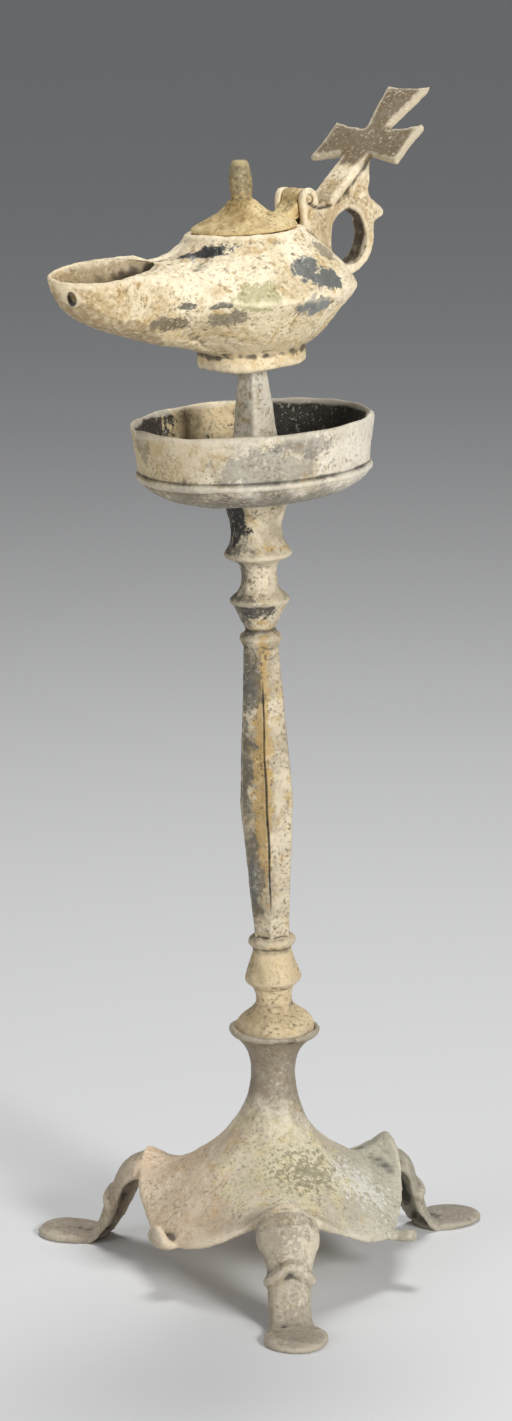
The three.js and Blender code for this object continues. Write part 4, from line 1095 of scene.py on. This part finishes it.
class Finish:
    """Node tree of one finish, with short calls for the nodes that it is made of."""

    def __init__(self, name):
        self.material = bpy.data.materials.new(name)
        self.material.use_nodes = True
        self.tree = self.material.node_tree
        self.tree.nodes.clear()
        self.place = self.node("ShaderNodeTexCoord").outputs["Object"]

    def node(self, kind, **settings):
        made = self.tree.nodes.new(kind)
        for key, value in settings.items():
            setattr(made, key, value)
        return made

    def link(self, source, socket):
        self.tree.links.new(source, socket)

    def put(self, value, socket):
        if isinstance(value, bpy.types.NodeSocket):
            self.link(value, socket)
        else:
            socket.default_value = value

    def noise(self, size, detail=3.0, roughness=0.55, warp=0.0):
        """Noise whose features are about size millimetres across."""
        made = self.node("ShaderNodeTexNoise")
        self.link(self.place, made.inputs["Vector"])
        made.inputs["Scale"].default_value = 1 / (size * MM)
        made.inputs["Detail"].default_value = detail
        made.inputs["Roughness"].default_value = roughness
        made.inputs["Distortion"].default_value = warp
        return made.outputs["Fac"]

    def step(self, value, low, high, out_low=0.0, out_high=1.0):
        """Smooth step of a value between two limits."""
        made = self.node("ShaderNodeMapRange", interpolation_type="SMOOTHSTEP")
        self.put(value, made.inputs["Value"])
        limits = {"From Min": low, "From Max": high, "To Min": out_low, "To Max": out_high}
        for title, limit in limits.items():
            made.inputs[title].default_value = limit
        return made.outputs["Result"]

    def maths(self, operation, first, second=0.0):
        made = self.node("ShaderNodeMath", operation=operation)
        self.put(first, made.inputs[0])
        self.put(second, made.inputs[1])
        return made.outputs[0]

    def blend(self, share, first, second):
        """First colour where the share is 0, second where it is 1."""
        made = self.node("ShaderNodeMix", data_type="RGBA")
        self.put(share, made.inputs[0])
        self.put(first, made.inputs[6])
        self.put(second, made.inputs[7])
        return made.outputs[2]

    def attribute(self, name):
        return self.node("ShaderNodeAttribute", attribute_name=name).outputs["Fac"]

    def ragged(self, value, reach, grain):
        """A value roughened by noise of some grain, up to reach either way."""
        made = self.maths("MULTIPLY_ADD", self.noise(grain, 5.0, 0.68, 0.3), 4 * reach)
        made.node.inputs[2].default_value = -2 * reach
        return self.maths("ADD", value, made)

    def spot(self, centre, radii, turn=(0, 0, 0), reach=0.8, grain=5.0, soft=0.14):
        """Ragged oval patch round a point, all in millimetres: scaled distance plus noise, stepped at 1."""
        mapping = self.node("ShaderNodeMapping", vector_type="TEXTURE")
        self.link(self.place, mapping.inputs["Vector"])
        mapping.inputs["Location"].default_value = [value * MM for value in centre]
        mapping.inputs["Rotation"].default_value = np.radians(turn).tolist()
        mapping.inputs["Scale"].default_value = [value * MM for value in radii]
        length = self.node("ShaderNodeVectorMath", operation="LENGTH")
        self.link(mapping.outputs["Vector"], length.inputs[0])
        return self.step(self.ragged(length.outputs["Value"], reach, grain), 1 + soft, 1 - soft)

    def slope(self, direction, low, high, reach=8.0, grain=10.0):
        """Ragged change along a direction between two distances in millimetres."""
        product = self.node("ShaderNodeVectorMath", operation="DOT_PRODUCT")
        self.link(self.place, product.inputs[0])
        product.inputs[1].default_value = [value / MM for value in direction]
        return self.step(self.ragged(product.outputs["Value"], reach, grain), low, high)

    def close(self, colour, rough, metallic, bump_height, bump_strength):
        """Ends the tree in a metal shader with a bump."""
        bump = self.node("ShaderNodeBump")
        bump.inputs["Strength"].default_value = bump_strength
        bump.inputs["Distance"].default_value = 0.5 * MM
        self.link(bump_height, bump.inputs["Height"])
        shader = self.node("ShaderNodeBsdfPrincipled")
        self.put(colour, shader.inputs["Base Color"])
        self.put(rough, shader.inputs["Roughness"])
        self.put(metallic, shader.inputs["Metallic"])
        self.link(bump.outputs["Normal"], shader.inputs["Normal"])
        self.link(shader.outputs["BSDF"], self.node("ShaderNodeOutputMaterial").inputs["Surface"])
        return self.material


def patina(name, pale, mid, ochre, dark, layers=(), ochre_range=(0.5, 0.66), speckle=0.7, edge_wear_and_highlight=0.5):
    """Corroded bronze: pale crust over a mid tone, ochre clouds, layers of other tones, then grain, then
    painted shade in hollows, paler raised edges for rubbed wear and painted highlight, and painted shade on
    the marked grooves and wick slot.
    """
    finish = Finish(name)
    clouds = finish.noise(22, 5.0, 0.62, 0.4)
    colour = finish.blend(finish.step(clouds, 0.38, 0.6), linear(*mid), linear(*pale))
    stain = finish.noise(7, 6.0, 0.72, 0.6)
    colour = finish.blend(finish.step(stain, *ochre_range, 0, 0.85), colour, linear(*ochre))
    metal = None
    for layer in layers:
        share = layer.get("share", 1.0)
        if "centre" in layer:
            ragged = layer.get("ragged", (0.8, 5.0))
            mask = finish.spot(layer["centre"], layer["radii"], layer.get("turn", (0, 0, 0)), *ragged)
        elif "direction" in layer:
            mask = finish.slope(layer["direction"], layer["low"], layer["high"])
        else:
            mask = finish.step(finish.ragged(finish.attribute(layer["mark"]), 0.12, 4.0), 0.3, 0.6)
        mask = finish.maths("MULTIPLY", mask, share)
        colour = finish.blend(mask, colour, linear(*layer["colour"]))
        if layer.get("bare"):
            metal = mask if metal is None else finish.maths("MAXIMUM", metal, mask)
    fine = finish.noise(1.5, 3.0, 0.65)
    region = finish.step(finish.noise(13, 3.0), 0.36, 0.6, 0.25, 1.0)
    amount = finish.maths("MULTIPLY", region, speckle)
    if metal is not None:
        amount = finish.maths("MULTIPLY", amount, finish.maths("SUBTRACT", 1.0, metal))
    freckle = finish.maths("MULTIPLY", finish.step(fine, 0.51, 0.66), amount)
    colour = finish.blend(freckle, colour, linear(*dark))
    bloom = finish.maths("MULTIPLY", finish.step(fine, 0.45, 0.32), finish.maths("MULTIPLY", amount, 0.7))
    colour = finish.blend(bloom, colour, linear(*[min(255, value + 14) for value in pale]))
    hollow = finish.attribute("hollow")
    # Painted shade: hollows are darkened towards a very dark copy of the dark tone.
    shade = linear(*[0.4 * value for value in dark])
    colour = finish.blend(finish.step(hollow, 0.04, 0.3, 0, 0.8), colour, shade)
    # Raised edges paler towards the pale crust: rubbed wear and painted highlight.
    colour = finish.blend(finish.step(hollow, -0.06, -0.35, 0, edge_wear_and_highlight), colour, linear(*pale))
    # Painted shade on the marked grooves, the shaft's crack and the nozzle's wick slot.
    colour = finish.blend(finish.attribute("groove_and_slot_shade"), colour, shade)
    rough = finish.step(stain, 0.3, 0.7, 0.6, 0.82)
    metallic = 0.15
    if metal is not None:
        rough = finish.maths("SUBTRACT", rough, finish.maths("MULTIPLY", metal, 0.34))
        metallic = finish.maths("MULTIPLY_ADD", metal, 0.5)
        metallic.node.inputs[2].default_value = 0.15
    height = finish.maths("ADD", fine, finish.maths("MULTIPLY", stain, 0.8))
    return finish.close(colour, rough, metallic, height, 0.6)


SLATE = (148, 149, 143)


def lamp_finish():
    """Pale sandy crust, ochre towards the nozzle and underneath, with slate, green and dark patches, a
    brown-grey patch high on the shoulder's right that is partly painted shade, and painted shade inside the
    handle's ring hole.
    """
    return patina("lamp_patina", (240, 226, 196), (208, 190, 154), (186, 156, 100), (104, 84, 56), (
        {"direction": (0, 0, -1), "low": -420, "high": -396, "colour": (208, 182, 132), "share": 0.5},
        {"direction": (-0.77, -0.63, 0), "low": 44, "high": 96, "colour": (172, 144, 92), "share": 0.65},
        {"centre": (-8.9, -26.7, 420.2), "radii": (12, 9, 5), "colour": (158, 154, 104), "share": 0.7},
        {"centre": (-45.7, -31.9, 410.8), "radii": (10, 7, 3.4), "colour": (92, 82, 66), "share": 0.8},
        {"centre": (-37, -33, 418.3), "radii": (4, 3, 1.6), "colour": (88, 86, 80), "share": 0.9},
        {"centre": (-23.2, -30, 417.7), "radii": (4, 3, 1.6), "colour": (88, 86, 80), "share": 0.9},
        {"centre": (-20.4, -25.6, 412.2), "radii": (9, 6, 3.2), "colour": (112, 106, 88), "share": 0.8},
        # Partly painted shade: brown-grey high on the right of the shoulder, over a slate tone.
        {"centre": (20.9, 6.3, 434.8), "radii": (5, 8, 4), "colour": (128, 118, 100), "share": 0.8},
        {"centre": (-26, -6, 436.2), "radii": (11.5, 5, 2.6), "turn": (0, -12, -11), "colour": (78, 78, 76),
         "bare": True},
        {"centre": (12.5, -12, 430), "radii": (6.5, 7, 5), "colour": SLATE, "bare": True},
        {"centre": (20, -10, 425), "radii": (8.5, 8, 5), "colour": SLATE, "bare": True},
        {"centre": (15, -17, 415.2), "radii": (8, 7, 4.6), "colour": SLATE, "bare": True},
        {"centre": (33, 47, 444), "radii": (16, 19, 15), "colour": (178, 152, 110), "share": 0.6},
        {"mark": "cross", "colour": (98, 81, 57), "share": 0.88},
        {"mark": "well", "colour": (146, 125, 90), "share": 0.7},
        # Painted shade: the inside of the handle's ring hole nearly black.
        {"mark": "ring", "colour": (46, 34, 26), "share": 0.85},
    ))


def lid_finish():
    """Yellow ochre lid, darker towards the top of its finial."""
    return patina("lid_patina", (216, 194, 144), (176, 150, 98), (146, 116, 64), (62, 50, 34), (
        {"direction": (0, 0, 1), "low": 456, "high": 464, "colour": (126, 118, 92), "share": 0.8},
    ))


def pan_finish():
    """Grey-beige pan, ochre on the left, paler on the right as painted light, darker underneath as painted
    shade, near black inside as painted shade, and pale on the far inner wall as painted light.
    """
    return patina("pan_patina", (216, 207, 188), (184, 172, 148), (164, 140, 98), (92, 84, 70), (
        {"direction": (-1, 0, 0), "low": 14, "high": 52, "colour": (200, 178, 132), "share": 0.7},
        # Painted shade: the underside darkened.
        {"direction": (0, 0, -1), "low": -346, "high": -338, "colour": (96, 90, 77), "share": 0.8},
        # Painted light: the right side paler.
        {"direction": (1, 0, 0), "low": 12, "high": 46, "colour": (232, 226, 212), "share": 0.6},
        {"centre": (-6, -30, 352), "radii": (20, 8, 8), "colour": (132, 128, 118), "share": 0.6},
        {"centre": (12, -29, 361), "radii": (14, 8, 5), "colour": (110, 106, 98), "share": 0.6},
        {"centre": (-53, 3, 358), "radii": (4, 9, 7), "colour": (80, 76, 66), "share": 0.5},
        # Painted shade: the inside of the pan nearly black.
        {"mark": "inside", "colour": (15, 13, 11), "share": 0.96},
        # Painted light: pale on the far inner wall, where light falls past the rim.
        {"centre": (-24.7, 61, 357), "radii": (19, 14, 13), "colour": (216, 194, 152), "share": 0.95},
        {"centre": (-16, 8, 372), "radii": (6, 8, 12), "colour": (136, 138, 100), "share": 0.6},
    ))


def shaft_finish():
    """Brown-grey shaft, its left half darker as a browner patina with painted shade and slate patches, ochre
    along its front corner, a painted shadow on the collar under the pan and a dark patch on a knop.
    """
    return patina("shaft_patina", (204, 191, 165), (162, 149, 124), (178, 150, 98), (64, 58, 48), (
        # Painted shade with a browner patina: the whole left half darkened.
        {"direction": (-1, 0, -0.032), "low": -2, "high": 4, "colour": (56, 54, 47), "share": 0.75},
        {"centre": (-4, 7.4, 222), "radii": (3.5, 6, 62), "colour": (176, 144, 84), "share": 0.75},
        # Painted shadow: near black on the collar under the pan.
        {"centre": (-14.5, 11, 324), "radii": (6.5, 7, 10), "colour": (22, 22, 20), "share": 0.96},
        {"centre": (-6.7, 7.5, 286), "radii": (7, 6, 3.4), "colour": (62, 60, 56), "share": 0.9},
        {"centre": (-8.5, 11, 255), "radii": (5, 6, 12), "colour": (80, 80, 76), "share": 0.7},
        {"centre": (-7, 11, 172), "radii": (4, 6, 9), "colour": (86, 88, 86), "share": 0.7},
        {"direction": (0, 0, -1), "low": -150, "high": -138, "colour": (216, 192, 150), "share": 0.6},
    ))


def base_finish():
    """Buff foot, pinkish left, yellower middle, grey-green right, darker up the neck."""
    return patina("base_patina", (216, 205, 182), (182, 168, 144), (192, 166, 120), (96, 86, 70), (
        {"direction": (-1, 0, 0), "low": -4, "high": 44, "colour": (208, 180, 150), "share": 0.45},
        {"direction": (1, 0, 0), "low": 4, "high": 46, "colour": (176, 177, 162), "share": 0.6},
        {"centre": (4, -6, 54), "radii": (24, 20, 20), "ragged": (1.4, 9.0),
         "colour": (216, 207, 164), "share": 0.4},
        {"centre": (12, -8, 48), "radii": (12, 10, 7), "ragged": (2.2, 2.2),
         "colour": (104, 100, 72), "share": 0.6},
        {"centre": (37, 3, 38), "radii": (9, 8, 10), "ragged": (2.8, 2.4),
         "colour": (236, 234, 226), "share": 0.45},
        {"centre": (3, 6, 70), "radii": (9, 9, 13), "ragged": (2.6, 2.4),
         "colour": (226, 216, 194), "share": 0.5},
        {"direction": (0, 0, 1), "low": 60, "high": 82, "colour": (112, 101, 86), "share": 0.75},
        {"mark": "leg", "colour": (132, 123, 107), "share": 0.62},
        {"centre": (9, -52, 30), "radii": (6, 8, 11), "ragged": (2.8, 2.4),
         "colour": (222, 210, 186), "share": 0.5},
        {"direction": (0, 0, -1), "low": -12, "high": -4, "colour": (150, 141, 128), "share": 0.5},
    ), speckle=0.52, edge_wear_and_highlight=0.26)


def make_pieces():
    """The six pieces, each in the place of its solid."""
    lamp, lid, pan, shaft, base = lamp_finish(), lid_finish(), pan_finish(), shaft_finish(), base_finish()
    shell, marks = tripod_shell()
    finished("tripod", shell, TRIPOD_PLACE, "lamp_and_stand", "tripod_base", base, marks)
    shell, groove_and_slot_shade = shaft_shell()
    finished(
        "shaft", shell, SHAFT_PLACE, "lamp_and_stand", "baluster_shaft", shaft,
        {"groove_and_slot_shade": groove_and_slot_shade},
    )
    shell, marks = pan_shell()
    finished("pan", shell, PAN_PLACE, "lamp_and_stand", "drip_pan", pan, marks)
    shell, marks = lamp_shell()
    finished("lamp", shell, LAMP_PLACE, "lamp_and_stand", "lamp_body", lamp, marks)
    finished("lid", lid_shell(), LAMP_PLACE, "lid", "lamp_lid", lid)
    finished("pin", pin_shell(), LAMP_PLACE, "lamp_and_stand", "hinge_pin", lamp)


# Camera, floor and light


def in_frame(side, depth, height):
    """Point given from the camera's side of the stand's axis, in millimetres, as metres in the frame."""
    cosine, sine = np.cos(CAMERA_AZIMUTH), np.sin(CAMERA_AZIMUTH)
    return (np.array([side * cosine - depth * sine, side * sine + depth * cosine, height]) + STAND) * MM


def make_camera():
    """Camera at the photo's angle."""
    data = bpy.data.cameras.new("camera")
    data.sensor_fit = "VERTICAL"
    data.sensor_height = SENSOR
    data.lens = SENSOR * FOCAL_PIXELS / PICTURE[1]
    data.clip_end = 100
    camera = bpy.data.objects.new("camera", data)
    bpy.context.scene.collection.objects.link(camera)
    turn = (
        Matrix.Rotation(CAMERA_AZIMUTH, 4, "Z")
        @ Matrix.Rotation(np.pi / 2 - CAMERA_PITCH, 4, "X")
        @ Matrix.Rotation(CAMERA_ROLL, 4, "Z")
    )
    camera.matrix_world = Matrix.Translation(in_frame(CAMERA_SIDE, -CAMERA_DISTANCE, CAMERA_HEIGHT)) @ turn
    bpy.context.scene.camera = camera


def make_floor():
    """Plain pale floor."""
    mesh = bpy.data.meshes.new("floor")
    reach = 30.0
    corners = [(-reach, -reach, 0), (reach, -reach, 0), (reach, reach, 0), (-reach, reach, 0)]
    mesh.from_pydata(corners, [], [(0, 1, 2, 3)])
    material = bpy.data.materials.new("floor")
    material.use_nodes = True
    shader = material.node_tree.nodes["Principled BSDF"]
    shader.inputs["Base Color"].default_value = (0.7, 0.7, 0.7, 1)
    shader.inputs["Roughness"].default_value = 0.9
    mesh.materials.append(material)
    floor = bpy.data.objects.new("floor", mesh)
    bpy.context.scene.collection.objects.link(floor)


def soft_light(name, side, depth, height, size, power, aim=250.0):
    """Square area light at a place seen from the camera's side, aimed at a height on the stand's axis."""
    data = bpy.data.lights.new(name, "AREA")
    data.size = size
    data.energy = power
    light = bpy.data.objects.new(name, data)
    bpy.context.scene.collection.objects.link(light)
    start = in_frame(side, depth, height)
    toward = in_frame(0, 0, aim) - start
    direction = Vector(toward).to_track_quat("-Z", "Y").to_matrix().to_4x4()
    light.matrix_world = Matrix.Translation(start) @ direction


def make_light():
    """Soft key from the right, fill from the left and light from above."""
    world = bpy.data.worlds.new("studio")
    world.use_nodes = True
    sky = world.node_tree.nodes["Background"]
    sky.inputs["Color"].default_value = (0.9, 0.92, 0.95, 1)
    sky.inputs["Strength"].default_value = 0.2
    bpy.context.scene.world = world
    soft_light("key", 1100, -1500, 850, 0.5, 34)
    soft_light("fill", -1300, -1000, 700, 1.0, 9)
    soft_light("top", 60, 500, 1700, 0.5, 14)
    bpy.context.scene.view_settings.view_transform = "Standard"


make_camera()
make_floor()
make_light()
make_pieces()
